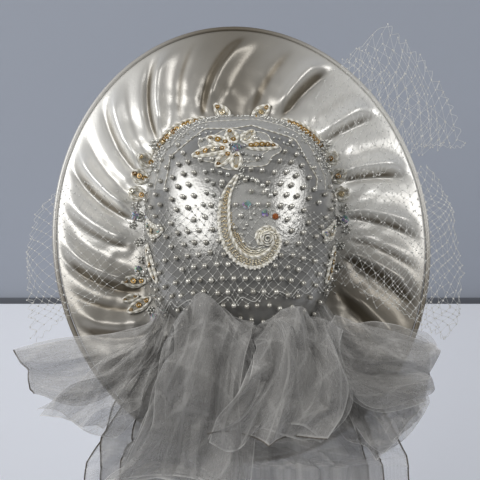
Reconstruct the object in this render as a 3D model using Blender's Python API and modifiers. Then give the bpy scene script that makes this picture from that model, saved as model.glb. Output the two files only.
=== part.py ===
"""Bridal hat: a satin crown and a wide gathered brim with lace motifs, net and tulle.

The hat is modelled lying flat in its own u, v, w directions (right, up along the brim, out
along the crown) and then tipped about X, as it sits on the back of a head, so that the crown
points at the viewer (-Y) and up. The origin is the middle of the head opening.
"""
import math

import bmesh
import bpy
import numpy as np
from mathutils import Vector

# Stance
TIP_ANGLE = math.radians(60)
FALL_DIRECTION = (0.0, -math.sin(TIP_ANGLE), -math.cos(TIP_ANGLE))

# Crown
CROWN_WIDTH = 0.172
CROWN_LENGTH = 0.206
CROWN_DEPTH = 0.085
CROWN_WALL = 0.002
CROWN_BASE_POWER = 2.7
CROWN_SHOULDER_POWER = 0.85
CROWN_COLUMNS = 36
CROWN_ROWS = 9

# Brim
BRIM_WIDTH = 0.334
BRIM_LENGTH = 0.397
BRIM_ROLL = math.radians(7)
BRIM_CENTRE = (0.001, -0.001)
BRIM_WALL = 0.003
BRIM_DROOP = 0.012
BRIM_DROOP_POWER = 1.6
BRIM_COLUMNS = 120
BRIM_STATIONS = (0.0, 0.15, 0.36, 0.60, 0.83, 1.0)
FOLD_HEIGHT = 0.008
FOLD_START = 0.10
FOLD_FULL = 0.36
FOLD_FADE = 0.70
FOLD_SWIRL_POWER = 0.8
FOLD_VALLEY_DEPTH = 0.45
FOLD_VALLEY_SHIFT = 1.5
EDGE_ROLL_RADIUS = 0.0022
EDGE_POINTS = 48

# Gaps between pieces that lie on each other
SEAM_GAP = 0.0004
LACE_GAP = 0.0005
BRIM_LACE_GAP = 0.0006
BRIM_FEEL = 0.0025
# Steps by which places are found on the crown's curve
SLOPE_STEP = 0.00001
DROP_REACH = 0.03
DROP_HALVINGS = 40

# Lace, stones, net and tulle
LACE_HEIGHT = 0.0016
LEAF_LENGTH = 0.020
LEAF_WIDTH = 0.0085
LEAF_STATIONS = 6
LEAF_FULLNESS = 0.7
LEAF_TIPS = (0.06, 0.96)
LEAF_PROFILE = ((-1.0, 0.0), (1.0, 0.0), (0.8, 1.0), (0.0, 0.45), (-0.8, 1.0))
ARC_STATIONS = 9
PAISLEY_WIDTH = 0.009
PAISLEY_STATIONS = 22
STONE_RADIUS = 0.0045
STONE_SIDES = 8
STONE_BASE_SHARE = 0.8
STONE_HEIGHT_SHARE = 0.75
STONE_TABLE_SHARE = 0.55
STONE_GIRDLE_SHARE = 0.25
NET_STRAND = 0.0014
NET_SEAT = 0.0010
NET_CROWN_SEAT = 0.0011
NET_CREST = 0.026
NET_PUFF_CELLS = (8, 8)
NET_CROWN_CELLS = (14, 4)
TULLE_WALL = 0.0012
TULLE_SEAT = 0.0008
TULLE_CLEARANCE = 0.003
PLEAT_HEIGHT = 0.004
PLEAT_DRIFT = 0.6
# Sections, columns and pleats of each kind of tulle sheet
VEIL_GRID = (8, 24, 6)
LOOP_GRID = (13, 8, 1.5)
FAN_GRID = (6, 9, 2)
PUFF_GRID = (13, 10, 2.5)

# Gathers of the brim: direction at the rim and at the crown in degrees, height and width.
# Each gather swirls anticlockwise on its way in. Height is a share of FOLD_HEIGHT.
GATHERS = (
    # rim, crown, height, width
    (2, 13, 0.85, 4.5),
    (13, 23, 0.45, 4.5),
    (23, 32, 1.00, 4.5),
    (34, 42, 0.45, 5.0),
    (45, 52, 0.90, 4.5),
    (55, 62, 0.40, 5.0),
    (65, 74, 1.00, 5.0),
    (76, 86, 0.60, 5.0),
    (88, 106, 1.00, 5.0),
    (100, 116, 0.60, 4.5),
    (111, 129, 1.00, 5.0),
    (121, 138, 0.50, 4.5),
    (130, 147, 0.90, 5.0),
    (141, 159, 0.60, 4.5),
    (151, 170, 1.00, 5.5),
    (166, 186, 0.75, 5.0),
    (181, 208, 1.00, 5.5),
    (193, 218, 0.55, 4.5),
    (205, 227, 0.85, 5.5),
    (220, 238, 0.60, 5.5),
    (236, 252, 0.80, 5.5),
    (252, 265, 0.60, 5.5),
    (267, 279, 0.80, 5.5),
    (282, 293, 0.60, 5.5),
    (297, 306, 0.80, 5.5),
    (311, 319, 0.60, 5.0),
    (324, 331, 0.90, 4.5),
    (341, 350, 0.95, 5.0),
    (351, 361, 0.60, 4.5),
)

# Lace leaves on the crown. Root place as shares of the crown's half sizes, heading in degrees,
# length and width as shares of LEAF_LENGTH and LEAF_WIDTH, and a bent leaf's turn in degrees.
CROWN_LEAVES = (
    # name, across, along, heading, length, width, bend
    ("flower_petal_1", -0.055, 0.600, 105, 0.85, 1.00, 0),
    ("flower_petal_2", 0.030, 0.605, 62, 0.85, 1.05, 0),
    ("flower_petal_3", 0.050, 0.560, 6, 1.40, 0.95, -14),
    ("flower_petal_4", -0.110, 0.545, 188, 1.55, 1.00, 14),
    ("flower_petal_5", -0.105, 0.590, 152, 1.05, 0.95, 0),
    ("flower_petal_6", -0.095, 0.510, 232, 0.90, 0.95, 0),
    ("flower_petal_7", -0.030, 0.500, 268, 0.80, 0.90, 10),
    ("crescent_left", -0.930, 0.020, 350, 1.65, 1.05, 80),
    ("crescent_right", 0.950, 0.020, 190, 1.60, 1.05, -80),
    ("leaf_left", -0.930, -0.190, 312, 1.80, 1.05, 12),
    ("leaf_right", 0.945, -0.200, 228, 1.70, 1.05, -12),
)

# Lace leaves on the brim round the crown. Root place as a direction in degrees and a distance
# out from the crown, as a share of LEAF_WIDTH, and the heading as a turn from straight outward.
BRIM_LEAVES = (
    # name, direction, out, heading, length, width, bend
    ("petal_top_left", 95, 0.26, 38, 1.00, 1.05, 0),
    ("petal_top_right", 84, 0.26, -42, 1.05, 1.05, 0),
    ("loop_left_1", 141, 0.24, 12, 0.75, 1.20, 0),
    ("loop_left_2", 150, 0.24, 4, 0.80, 1.20, 0),
    ("loop_left_3", 159, 0.24, 0, 0.75, 1.20, 0),
    ("loop_right_1", 39, 0.24, 8, 0.70, 1.20, 0),
    ("loop_right_2", 30, 0.24, 4, 0.70, 1.20, 0),
    ("loop_right_3", 21, 0.24, 0, 0.65, 1.20, 0),
    ("leaf_low_1", 208, 0.24, -26, 1.00, 0.95, 0),
    ("leaf_low_2", 217, 0.24, -4, 1.15, 0.95, 0),
    ("leaf_low_3", 212.5, 1.40, -14, 0.70, 0.60, 0),
)

# Lace arcs on the brim that follow the crown's upper corners: directions of their two ends in
# degrees, distance out from the crown and width, as shares of LEAF_WIDTH.
BRIM_ARCS = (
    # name, from, to, out, width
    ("arc_left", 138, 107, 0.76, 1.05),
    ("arc_right", 43, 70, 0.76, 1.05),
)

# Scrolled band of the paisley: its middle line as shares of the crown's half sizes, and its
# width as a share of PAISLEY_WIDTH.
PAISLEY_PATH = (
    # across, along, width
    (-0.03, 0.29, 0.22),
    (-0.12, 0.15, 0.61),
    (-0.155, -0.02, 0.95),
    (-0.13, -0.22, 1.00),
    (-0.02, -0.37, 1.00),
    (0.14, -0.42, 0.95),
    (0.29, -0.36, 0.83),
    (0.355, -0.24, 0.67),
    (0.28, -0.155, 0.55),
    (0.18, -0.20, 0.45),
    (0.20, -0.275, 0.33),
)

# Cut stones and a bead: on the crown as shares of its half sizes, on the brim by direction in
# degrees and distance out from the crown. Distance and radius are shares of STONE_RADIUS.
CROWN_STONES = (
    # name, across, along, radius
    ("crystal_flower", -0.032, 0.555, 0.93),
    ("crystal_paisley", 0.065, 0.045, 0.89),
    ("stone_ring", 0.245, -0.020, 0.76),
    ("bead_amber", 0.345, -0.045, 0.67),
)
BRIM_STONES = (
    # name, direction, out, radius
    ("crystal_left", 171, 1.90, 1.00),
    ("crystal_right", 7, 1.90, 0.93),
    ("crystal_low_1", 225.5, 1.45, 0.80),
    ("crystal_low_2", 200.5, 1.55, 0.76),
)

# Outer border of each net puff: direction in degrees, reach and rise as shares of half the
# brim's length and of the crown's depth.
NET_LEFT = (
    # direction, reach, rise
    (166, 0.83, 0.16),
    (177, 0.92, 0.20),
    (189, 0.96, 0.20),
    (198, 0.99, 0.18),
    (208, 1.04, 0.12),
)
NET_RIGHT_UPPER = (
    # direction, reach, rise
    (21, 1.12, 0.16),
    (30, 1.13, 0.20),
    (43, 1.17, 0.22),
    (54, 1.17, 0.20),
    (60, 0.90, 0.16),
)
NET_RIGHT_LOWER = (
    # direction, reach, rise
    (-30, 1.05, 0.12),
    (-21, 1.05, 0.16),
    (-12, 1.03, 0.20),
    (3, 0.97, 0.20),
    (19, 0.93, 0.16),
)
NET_ROOT_HEIGHT = 0.15
# Net laid over the lower crown: its two long borders, as shares of the crown's half sizes.
NET_CROWN_SPAN = (-0.74, 0.80)
NET_CROWN_BORDERS = (-0.50, -0.72)
NET_CROWN_BOW = 0.5

# Tulle that falls: one row for each section from its root on the crown to its hem. Along and the
# two sides are shares of the brim's half length and half width, out is a share of the crown's
# depth, drop is how far the sides hang below the middle, and pleat is a share of PLEAT_HEIGHT.
PUFF_LEFT = (
    # along, out, left, right, drop, pleat
    (-0.40, 0.31, -0.30, 0.04, 0.00, 0.2),
    (-0.54, 0.49, -0.35, 0.05, 0.02, 0.5),
    (-0.49, 0.68, -0.36, 0.05, 0.04, 0.7),
    (-0.42, 0.82, -0.31, 0.05, 0.08, 0.7),
    (-0.40, 0.94, -0.30, 0.05, 0.11, 0.7),
    (-0.46, 1.04, -0.32, 0.05, 0.11, 0.7),
    (-0.57, 1.04, -0.36, 0.05, 0.09, 0.8),
    (-0.71, 0.89, -0.40, 0.05, 0.06, 1.0),
    (-0.86, 0.68, -0.44, 0.04, 0.04, 1.0),
    (-1.01, 0.54, -0.53, 0.01, 0.02, 1.0),
    (-1.13, 0.45, -0.61, 0.00, 0.00, 1.0),
)
PUFF_RIGHT = (
    # along, out, left, right, drop, pleat
    (-0.40, 0.35, 0.10, 0.36, 0.00, 0.2),
    (-0.54, 0.54, 0.10, 0.44, 0.01, 0.5),
    (-0.51, 0.71, 0.10, 0.46, 0.04, 0.7),
    (-0.45, 0.82, 0.10, 0.44, 0.07, 0.7),
    (-0.43, 0.94, 0.10, 0.43, 0.08, 0.7),
    (-0.48, 1.06, 0.10, 0.44, 0.08, 0.7),
    (-0.58, 1.13, 0.10, 0.47, 0.07, 0.8),
    (-0.71, 1.11, 0.07, 0.49, 0.05, 1.0),
    (-0.83, 1.02, -0.03, 0.46, 0.03, 1.0),
    (-0.93, 0.90, -0.11, 0.38, 0.01, 1.0),
)
VEIL = (
    # along, out, left, right, drop, pleat
    (-0.40, 0.11, -0.37, 0.37, 0.00, 0.2),
    (-0.57, 0.15, -0.48, 0.49, 0.00, 0.6),
    (-0.76, 0.16, -0.62, 0.65, 0.00, 0.8),
    (-0.93, 0.14, -0.73, 0.77, 0.00, 0.8),
    (-1.04, 0.07, -0.76, 0.83, 0.00, 1.0),
)
VEIL_FALL = 0.085
VEIL_FALL_STEPS = 3
VEIL_FLARE = 1.08

# Tulle wings: a section for each row, from the gather at the crown outward, with the place of
# its two ends as shares of the brim's half width and half length.
LOOP_LEFT = (
    # across 1, along 1, across 2, along 2, out, pleat
    (-0.41, -0.32, -0.35, -0.36, 0.24, 0.2),
    (-0.50, -0.45, -0.43, -0.54, 0.29, 0.6),
    (-0.67, -0.48, -0.59, -0.70, 0.29, 0.9),
    (-0.91, -0.51, -0.81, -0.81, 0.25, 0.9),
    (-1.13, -0.56, -1.03, -0.77, 0.19, 0.6),
    (-1.16, -0.57, -1.07, -0.78, 0.26, 0.4),
    (-1.12, -0.56, -1.03, -0.79, 0.34, 0.6),
    (-0.90, -0.51, -0.84, -0.81, 0.40, 0.9),
    (-0.67, -0.48, -0.60, -0.71, 0.41, 0.9),
    (-0.50, -0.46, -0.46, -0.56, 0.39, 0.6),
    (-0.44, -0.42, -0.40, -0.47, 0.37, 0.3),
)
FAN_LEFT = (
    # across 1, along 1, across 2, along 2, out, pleat
    (-0.38, -0.34, -0.32, -0.38, 0.40, 0.2),
    (-0.48, -0.51, -0.38, -0.59, 0.55, 0.6),
    (-0.62, -0.60, -0.46, -0.71, 0.54, 1.0),
    (-0.80, -0.71, -0.55, -0.83, 0.49, 1.0),
    (-0.99, -0.83, -0.69, -0.92, 0.42, 0.8),
)
LOOP_RIGHT = (
    # across 1, along 1, across 2, along 2, out, pleat
    (0.41, -0.32, 0.37, -0.36, 0.32, 0.2),
    (0.53, -0.46, 0.47, -0.58, 0.38, 0.6),
    (0.71, -0.49, 0.62, -0.71, 0.38, 0.9),
    (0.89, -0.49, 0.81, -0.77, 0.34, 0.9),
    (0.98, -0.52, 0.95, -0.74, 0.30, 0.6),
    (1.01, -0.56, 0.96, -0.73, 0.36, 0.4),
    (0.97, -0.53, 0.92, -0.76, 0.44, 0.6),
    (0.84, -0.50, 0.73, -0.80, 0.50, 0.9),
    (0.67, -0.49, 0.58, -0.74, 0.51, 0.9),
    (0.54, -0.47, 0.50, -0.60, 0.49, 0.6),
    (0.48, -0.43, 0.45, -0.48, 0.46, 0.3),
)
FAN_RIGHT = (
    # across 1, along 1, across 2, along 2, out, pleat
    (0.41, -0.32, 0.37, -0.36, 0.20, 0.2),
    (0.54, -0.51, 0.45, -0.61, 0.25, 0.4),
    (0.70, -0.63, 0.55, -0.79, 0.27, 0.6),
    (0.86, -0.73, 0.65, -0.92, 0.27, 0.6),
    (0.93, -0.82, 0.74, -0.99, 0.25, 0.6),
)

# Colours, as linear values, with roughness and opacity
SATIN = ((0.78, 0.75, 0.70), 0.28, 1.0)
LACE = ((0.82, 0.79, 0.70), 0.45, 1.0)
AMBER = ((0.62, 0.33, 0.06), 0.20, 1.0)
CRYSTAL = ((0.75, 0.80, 0.88), 0.05, 1.0)
NET = ((0.80, 0.78, 0.74), 0.60, 1.0)
TULLE = ((0.42, 0.41, 0.41), 0.80, 0.7)


def clear_scene():
    """Remove whatever the scene holds."""
    for item in list(bpy.data.objects):
        bpy.data.objects.remove(item, do_unlink=True)


def make_material(name, look):
    """A plain Principled material from a colour, a roughness and an opacity."""
    colour, roughness, opacity = look
    material = bpy.data.materials.new(name)
    material.use_nodes = True
    shader = material.node_tree.nodes["Principled BSDF"]
    shader.inputs["Base Color"].default_value = (*colour, 1.0)
    shader.inputs["Roughness"].default_value = roughness
    shader.inputs["Metallic"].default_value = 0.0
    shader.inputs["Alpha"].default_value = opacity
    return material


def add_object(name, data, look, hat):
    """Link one named piece into the hat's collection, tipped with the hat."""
    piece = bpy.data.objects.new(name, data)
    data.materials.append(make_material(name + "_look", look))
    hat["collection"].objects.link(piece)
    piece.parent = hat["frame"]
    return piece


def mesh_from(name, points, faces):
    """A smooth-shaded mesh from points and faces."""
    mesh = bpy.data.meshes.new(name)
    mesh.from_pydata([tuple(point) for point in points], [], faces)
    mesh.shade_smooth()
    return mesh


def grid_faces(rows, columns, closed):
    """Faces of a grid of points kept row by row, closed across if it goes all round."""
    spans = columns if closed else columns - 1
    faces = []
    for row in range(rows - 1):
        for column in range(spans):
            after = (column + 1) % columns
            low = row * columns
            high = low + columns
            faces.append((low + column, low + after, high + after, high + column))
    return faces


def add_solidify(piece, thickness, offset):
    """Give an open sheet its wall."""
    wall = piece.modifiers.new("wall", "SOLIDIFY")
    wall.thickness = thickness
    wall.offset = offset
    wall.use_even_offset = False


def smooth_step(value, low, high):
    """Rise from 0 at low to 1 at high with soft ends."""
    share = min(max((value - low) / (high - low), 0.0), 1.0)
    return share * share * (3.0 - 2.0 * share)


def smooth_rows(table, count):
    """Rows read evenly along a Catmull-Rom curve through the table's rows."""
    rows = np.array(table, dtype=float)
    padded = np.vstack((2 * rows[0] - rows[1], rows, 2 * rows[-1] - rows[-2]))
    result = []
    for place in np.linspace(0, len(rows) - 1, count):
        span = min(int(place), len(rows) - 2)
        t = place - span
        before, start, end, after = padded[span:span + 4]
        result.append(0.5 * (2 * start + (end - before) * t
                             + (2 * before - 5 * start + 4 * end - after) * t * t
                             + (3 * start - before - 3 * end + after) * t ** 3))
    return np.array(result)


# The crown is a superellipse at its base, closed over by a rounded shoulder.

def crown_base_radius(direction, inset=0.0):
    """Distance from the middle to the crown's base outline, less an inset."""
    half_width = CROWN_WIDTH / 2 - inset
    half_length = CROWN_LENGTH / 2 - inset
    across = abs(math.cos(direction) / half_width) ** CROWN_BASE_POWER
    along = abs(math.sin(direction) / half_length) ** CROWN_BASE_POWER
    return (across + along) ** (-1.0 / CROWN_BASE_POWER)


def crown_fullness(u, v, w):
    """1 on the crown's outer surface, less inside it and more outside."""
    base = (abs(2 * u / CROWN_WIDTH) ** CROWN_BASE_POWER
            + abs(2 * v / CROWN_LENGTH) ** CROWN_BASE_POWER) ** (1.0 / CROWN_BASE_POWER)
    power = 2.0 / CROWN_SHOULDER_POWER
    return base ** power + (max(w, 0.0) / CROWN_DEPTH) ** power


def crown_height(u, v):
    """Height of the crown over a place on the brim plane."""
    power = 2.0 / CROWN_SHOULDER_POWER
    return CROWN_DEPTH * max(1.0 - crown_fullness(u, v, 0.0), 0.0) ** (1.0 / power)


def crown_normal(point):
    """Outward direction of the crown's surface at a point."""
    step = SLOPE_STEP
    centre = Vector((point[0], point[1], max(point[2], 2 * step)))
    slope = Vector((
        crown_fullness(centre.x + step, centre.y, centre.z)
        - crown_fullness(centre.x - step, centre.y, centre.z),
        crown_fullness(centre.x, centre.y + step, centre.z)
        - crown_fullness(centre.x, centre.y - step, centre.z),
        crown_fullness(centre.x, centre.y, centre.z + step)
        - crown_fullness(centre.x, centre.y, centre.z - step)))
    return slope.normalized()


def crown_half_length(u, w):
    """How far down (-v) the crown's surface reaches at a given u and height."""
    power = 2.0 / CROWN_SHOULDER_POWER
    left = max(1.0 - (max(w, 0.0) / CROWN_DEPTH) ** power, 0.0) ** (CROWN_BASE_POWER / power)
    left -= abs(2 * u / CROWN_WIDTH) ** CROWN_BASE_POWER
    return CROWN_LENGTH / 2 * max(left, 0.0) ** (1.0 / CROWN_BASE_POWER)


def on_crown(point, normal, lift):
    """Drop a point along a direction onto the crown, then lift it off the surface."""
    low = -DROP_REACH
    high = DROP_REACH
    for _ in range(DROP_HALVINGS):
        middle = (low + high) / 2
        if crown_fullness(*(point + normal * middle)) < 1.0:
            low = middle
        else:
            high = middle
    seat = point + normal * low
    return seat + crown_normal(seat) * lift


def crown_place(across, along):
    """A point of the crown's surface from shares of its half sizes."""
    u = across * CROWN_WIDTH / 2
    v = along * CROWN_LENGTH / 2
    return Vector((u, v, crown_height(u, v)))


# The brim is a drooping ring between the crown and an ellipse rolled a little to one side.

def brim_rim_radius(direction):
    """Distance from the brim's own centre to its rim."""
    turned = direction - BRIM_ROLL
    return 1.0 / math.hypot(2 * math.cos(turned) / BRIM_WIDTH, 2 * math.sin(turned) / BRIM_LENGTH)


def gather_height(direction, share):
    """Height of the gathers at a direction and at a share of the way out."""
    rise = smooth_step(share, FOLD_START, FOLD_FULL) * (1.0 - smooth_step(share, FOLD_FADE, 1.0))
    total = 0.0
    for rim, crown, height, width in GATHERS:
        centre = math.radians(crown + (rim - crown) * share ** FOLD_SWIRL_POWER)
        away = math.degrees(math.remainder(direction - centre, math.tau)) / width
        ridge = math.exp(-away ** 2)
        valley = math.exp(-(away + FOLD_VALLEY_SHIFT) ** 2)
        total += height * (ridge - FOLD_VALLEY_DEPTH * valley)
    return FOLD_HEIGHT * rise * total


def brim_point(direction, share, lift=0.0):
    """A point of the brim's upper face, from the head opening (0) to the rim (1)."""
    inner = crown_base_radius(direction, CROWN_WALL)
    rim = brim_rim_radius(direction)
    ends = []
    for radius, centre in ((inner, (0.0, 0.0)), (rim, BRIM_CENTRE)):
        ends.append((centre[0] + radius * math.cos(direction),
                     centre[1] + radius * math.sin(direction)))
    u = ends[0][0] + (ends[1][0] - ends[0][0]) * share
    v = ends[0][1] + (ends[1][1] - ends[0][1]) * share
    w = -SEAM_GAP - BRIM_DROOP * share ** BRIM_DROOP_POWER
    return Vector((u, v, w + gather_height(direction, share) + lift))


def brim_height(u, v):
    """Height of the brim's upper face at a place."""
    direction = math.atan2(v, u)
    inner = crown_base_radius(direction, CROWN_WALL)
    share = (math.hypot(u, v) - inner) / (brim_rim_radius(direction) - inner)
    return brim_point(direction, min(max(share, 0.0), 1.0)).z


def on_brim(u, v, lift):
    """Rest a place on the brim's upper face, on the highest spot close by, then lift it."""
    around = ((0.0, 0.0), (1.0, 0.0), (-1.0, 0.0), (0.0, 1.0), (0.0, -1.0))
    height = max(brim_height(u + BRIM_FEEL * x, v + BRIM_FEEL * y) for x, y in around)
    return Vector((u, v, height + lift))


def add_crown(hat):
    """The crown: half a sphere drawn out into the crown's shape, with an even wall."""
    sphere = bmesh.new()
    bmesh.ops.create_uvsphere(sphere, u_segments=CROWN_COLUMNS, v_segments=2 * CROWN_ROWS,
                              radius=1.0)
    half_row = math.sin(math.pi / (4 * CROWN_ROWS))
    below = [vertex for vertex in sphere.verts if vertex.co.z < -half_row]
    bmesh.ops.delete(sphere, geom=below, context="VERTS")
    for vertex in sphere.verts:
        direction = math.atan2(vertex.co.y, vertex.co.x)
        spread = math.hypot(vertex.co.x, vertex.co.y) ** CROWN_SHOULDER_POWER
        radius = crown_base_radius(direction) * spread
        height = 0.0
        if vertex.co.z > half_row:
            height = CROWN_DEPTH * vertex.co.z ** CROWN_SHOULDER_POWER
        vertex.co = (radius * math.cos(direction), radius * math.sin(direction), height)
    mesh = bpy.data.meshes.new("crown")
    sphere.to_mesh(mesh)
    sphere.free()
    mesh.shade_smooth()
    crown = add_object("crown", mesh, SATIN, hat)
    add_solidify(crown, CROWN_WALL, -1.0)


def add_brim(hat):
    """The brim: a gathered ring with an even wall below its upper face."""
    points = []
    for share in BRIM_STATIONS:
        for column in range(BRIM_COLUMNS):
            points.append(brim_point(math.tau * column / BRIM_COLUMNS, share))
    faces = grid_faces(len(BRIM_STATIONS), BRIM_COLUMNS, closed=True)
    upward = [tuple(reversed(face)) for face in faces]
    brim = add_object("brim", mesh_from("brim", points, upward), SATIN, hat)
    add_solidify(brim, BRIM_WALL, -1.0)


def tube_curve(name, points, radius, cyclic, resolution):
    """A curve object's data: a round cord through points."""
    curve = bpy.data.curves.new(name, "CURVE")
    curve.dimensions = "3D"
    curve.bevel_depth = radius
    curve.bevel_resolution = resolution
    curve.use_fill_caps = True
    spline = curve.splines.new("POLY")
    spline.points.add(len(points) - 1)
    for target, point in zip(spline.points, points):
        target.co = (*point, 1.0)
    spline.use_cyclic_u = cyclic
    return curve


def add_brim_edge(hat):
    """The rolled edge: a closed cord that lies just outside the brim's rim."""
    points = []
    for index in range(EDGE_POINTS):
        direction = math.tau * index / EDGE_POINTS
        outward = Vector((math.cos(direction), math.sin(direction), 0.0))
        away = EDGE_ROLL_RADIUS + SEAM_GAP
        points.append(brim_point(direction, 1.0, -BRIM_WALL / 2) + outward * away)
    curve = tube_curve("brim_edge", points, EDGE_ROLL_RADIUS, True, 1)
    add_object("brim_edge", curve, SATIN, hat)


def leaf_sections(length, width, bend, stations=LEAF_STATIONS):
    """Places across a leaf, in its own plane: each is a point of the middle line, the
    direction across it and the leaf's half width there."""
    sections = []
    for index in range(stations):
        share = index / (stations - 1)
        turn = bend * (share - 0.5)
        if abs(bend) < 1e-6:
            middle = Vector((share * length, 0.0))
        else:
            radius = length / bend
            start = -bend / 2
            middle = Vector((radius * (math.sin(turn) - math.sin(start)),
                             radius * (math.cos(start) - math.cos(turn))))
        fullness = math.sin(math.pi * (LEAF_TIPS[0] + (LEAF_TIPS[1] - LEAF_TIPS[0]) * share))
        half = width / 2 * fullness ** LEAF_FULLNESS
        sections.append((middle, Vector((-math.sin(turn), math.cos(turn))), half))
    return sections


def leaf_mesh(name, sections, gap, seat):
    """A lace leaf: a low closed relief with a raised corded outline and a sunken middle.
    seat(a, b, lift) puts a place of the leaf's plane on what carries it, gap below it."""
    points = []
    for middle, across, half in sections:
        for side, height in LEAF_PROFILE:
            place = middle + across * (half * side)
            points.append(seat(place.x, place.y, gap + LACE_HEIGHT * height))
    size = len(LEAF_PROFILE)
    faces = grid_faces(len(sections), size, closed=True)
    faces.append(tuple(reversed(range(size))))
    last = size * (len(sections) - 1)
    faces.append(tuple(range(last, last + size)))
    return mesh_from(name, points, faces)


def add_crown_leaves(hat):
    """Lace petals, crescents and leaves that lie on the crown."""
    for name, across, along, heading, length, width, bend in CROWN_LEAVES:
        root = crown_place(across, along)
        normal = crown_normal(root)
        ahead = Vector((math.cos(math.radians(heading)), math.sin(math.radians(heading)), 0.0))
        ahead = (ahead - normal * ahead.dot(normal)).normalized()
        beside = normal.cross(ahead)

        def seat(a, b, lift):
            return on_crown(root + ahead * a + beside * b, normal, lift)

        sections = leaf_sections(length * LEAF_LENGTH, width * LEAF_WIDTH, math.radians(bend))
        add_object(name, leaf_mesh(name, sections, LACE_GAP, seat), LACE, hat)


def add_brim_leaves(hat):
    """Lace petals, loops and leaves that lie on the brim round the crown."""
    for name, direction, out, heading, length, width, bend in BRIM_LEAVES:
        angle = math.radians(direction)
        radius = crown_base_radius(angle) + out * LEAF_WIDTH
        root = Vector((radius * math.cos(angle), radius * math.sin(angle)))
        turn = angle + math.radians(heading)

        def seat(a, b, lift):
            u = root.x + a * math.cos(turn) - b * math.sin(turn)
            v = root.y + a * math.sin(turn) + b * math.cos(turn)
            return on_brim(u, v, lift)

        sections = leaf_sections(length * LEAF_LENGTH, width * LEAF_WIDTH, math.radians(bend))
        add_object(name, leaf_mesh(name, sections, BRIM_LACE_GAP, seat), LACE, hat)


def add_brim_arcs(hat):
    """Lace arcs that follow the crown's base on the brim."""
    for name, start, end, out, width in BRIM_ARCS:
        outward = 1.0 if end < start else -1.0

        def seat(a, b, lift):
            angle = math.radians(start + (end - start) * a)
            radius = crown_base_radius(angle) + out * LEAF_WIDTH + outward * b
            return on_brim(radius * math.cos(angle), radius * math.sin(angle), lift)

        sections = leaf_sections(1.0, width * LEAF_WIDTH, 0.0, ARC_STATIONS)
        add_object(name, leaf_mesh(name, sections, BRIM_LACE_GAP, seat), LACE, hat)


def add_paisley(hat):
    """The paisley: one scrolled lace band that lies on the crown."""
    rows = smooth_rows(PAISLEY_PATH, PAISLEY_STATIONS)
    middles = [Vector((across * CROWN_WIDTH / 2, along * CROWN_LENGTH / 2))
               for across, along, _ in rows]
    sections = []
    for index, middle in enumerate(middles):
        before = middles[max(index - 1, 0)]
        after = middles[min(index + 1, len(middles) - 1)]
        ahead = (after - before).normalized()
        sections.append((middle, Vector((-ahead.y, ahead.x)), rows[index][2] * PAISLEY_WIDTH / 2))

    def seat(a, b, lift):
        place = Vector((a, b, crown_height(a, b)))
        return place + crown_normal(place) * lift

    add_object("paisley", leaf_mesh("paisley", sections, LACE_GAP, seat), LACE, hat)


def stone_mesh(name, radius):
    """A cut stone: eight facets between girdle and table, turned from its profile."""
    height = radius * STONE_HEIGHT_SHARE
    rings = ((radius * STONE_BASE_SHARE, 0.0), (radius, height * STONE_GIRDLE_SHARE),
             (radius * STONE_TABLE_SHARE, height))
    points = []
    for ring, level in rings:
        for index in range(STONE_SIDES):
            angle = math.tau * index / STONE_SIDES
            points.append((ring * math.cos(angle), ring * math.sin(angle), level))
    faces = grid_faces(len(rings), STONE_SIDES, closed=True)
    faces.append(tuple(reversed(range(STONE_SIDES))))
    faces.append(tuple(range(2 * STONE_SIDES, 3 * STONE_SIDES)))
    mesh = mesh_from(name, points, faces)
    mesh.shade_flat()
    return mesh


def add_stones(hat):
    """Cut stones and the amber bead, each standing on what carries it."""
    seats = []
    for name, across, along, radius in CROWN_STONES:
        place = crown_place(across, along)
        seats.append((name, place, crown_normal(place), radius * STONE_RADIUS))
    for name, direction, out, share in BRIM_STONES:
        angle = math.radians(direction)
        radius = share * STONE_RADIUS
        reach = crown_base_radius(angle) + out * STONE_RADIUS
        middle = Vector((reach * math.cos(angle), reach * math.sin(angle), 0.0))
        around = [math.tau * index / STONE_SIDES for index in range(STONE_SIDES)]
        middle.z = max(brim_height(middle.x + radius * math.cos(turn),
                                   middle.y + radius * math.sin(turn)) for turn in around)
        seats.append((name, middle, Vector((0.0, 0.0, 1.0)), radius))
    for name, place, normal, radius in seats:
        look = AMBER if name == "bead_amber" else CRYSTAL
        stone = add_object(name, stone_mesh(name, radius), look, hat)
        stone.location = place + normal * LACE_GAP
        stone.rotation_mode = "QUATERNION"
        stone.rotation_quaternion = normal.to_track_quat("Z", "Y")


def net_lattice(name, columns, rows, place, hat):
    """Diamond net: a lattice of square gaps standing on their corners, cut right through.
    place(x, y) gives the point of the net at two shares from 0 to 1."""
    lattice = bmesh.new()
    corners = {}
    for row in range(rows + 1):
        for column in range(columns + 1):
            if (row + column) % 2 == 0:
                corners[row, column] = lattice.verts.new(place(column / columns, row / rows))
    for row in range(1, rows):
        for column in range(1, columns):
            if (row + column) % 2 == 1:
                lattice.faces.new((corners[row - 1, column], corners[row, column + 1],
                                   corners[row + 1, column], corners[row, column - 1]))
    loose = [vertex for vertex in lattice.verts if not vertex.link_faces]
    bmesh.ops.delete(lattice, geom=loose, context="VERTS")
    mesh = bpy.data.meshes.new(name)
    lattice.to_mesh(mesh)
    lattice.free()
    net = add_object(name, mesh, NET, hat)
    strands = net.modifiers.new("strands", "WIREFRAME")
    strands.thickness = NET_STRAND
    strands.use_boundary = True
    strands.use_replace = True
    strands.use_even_offset = False


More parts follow.
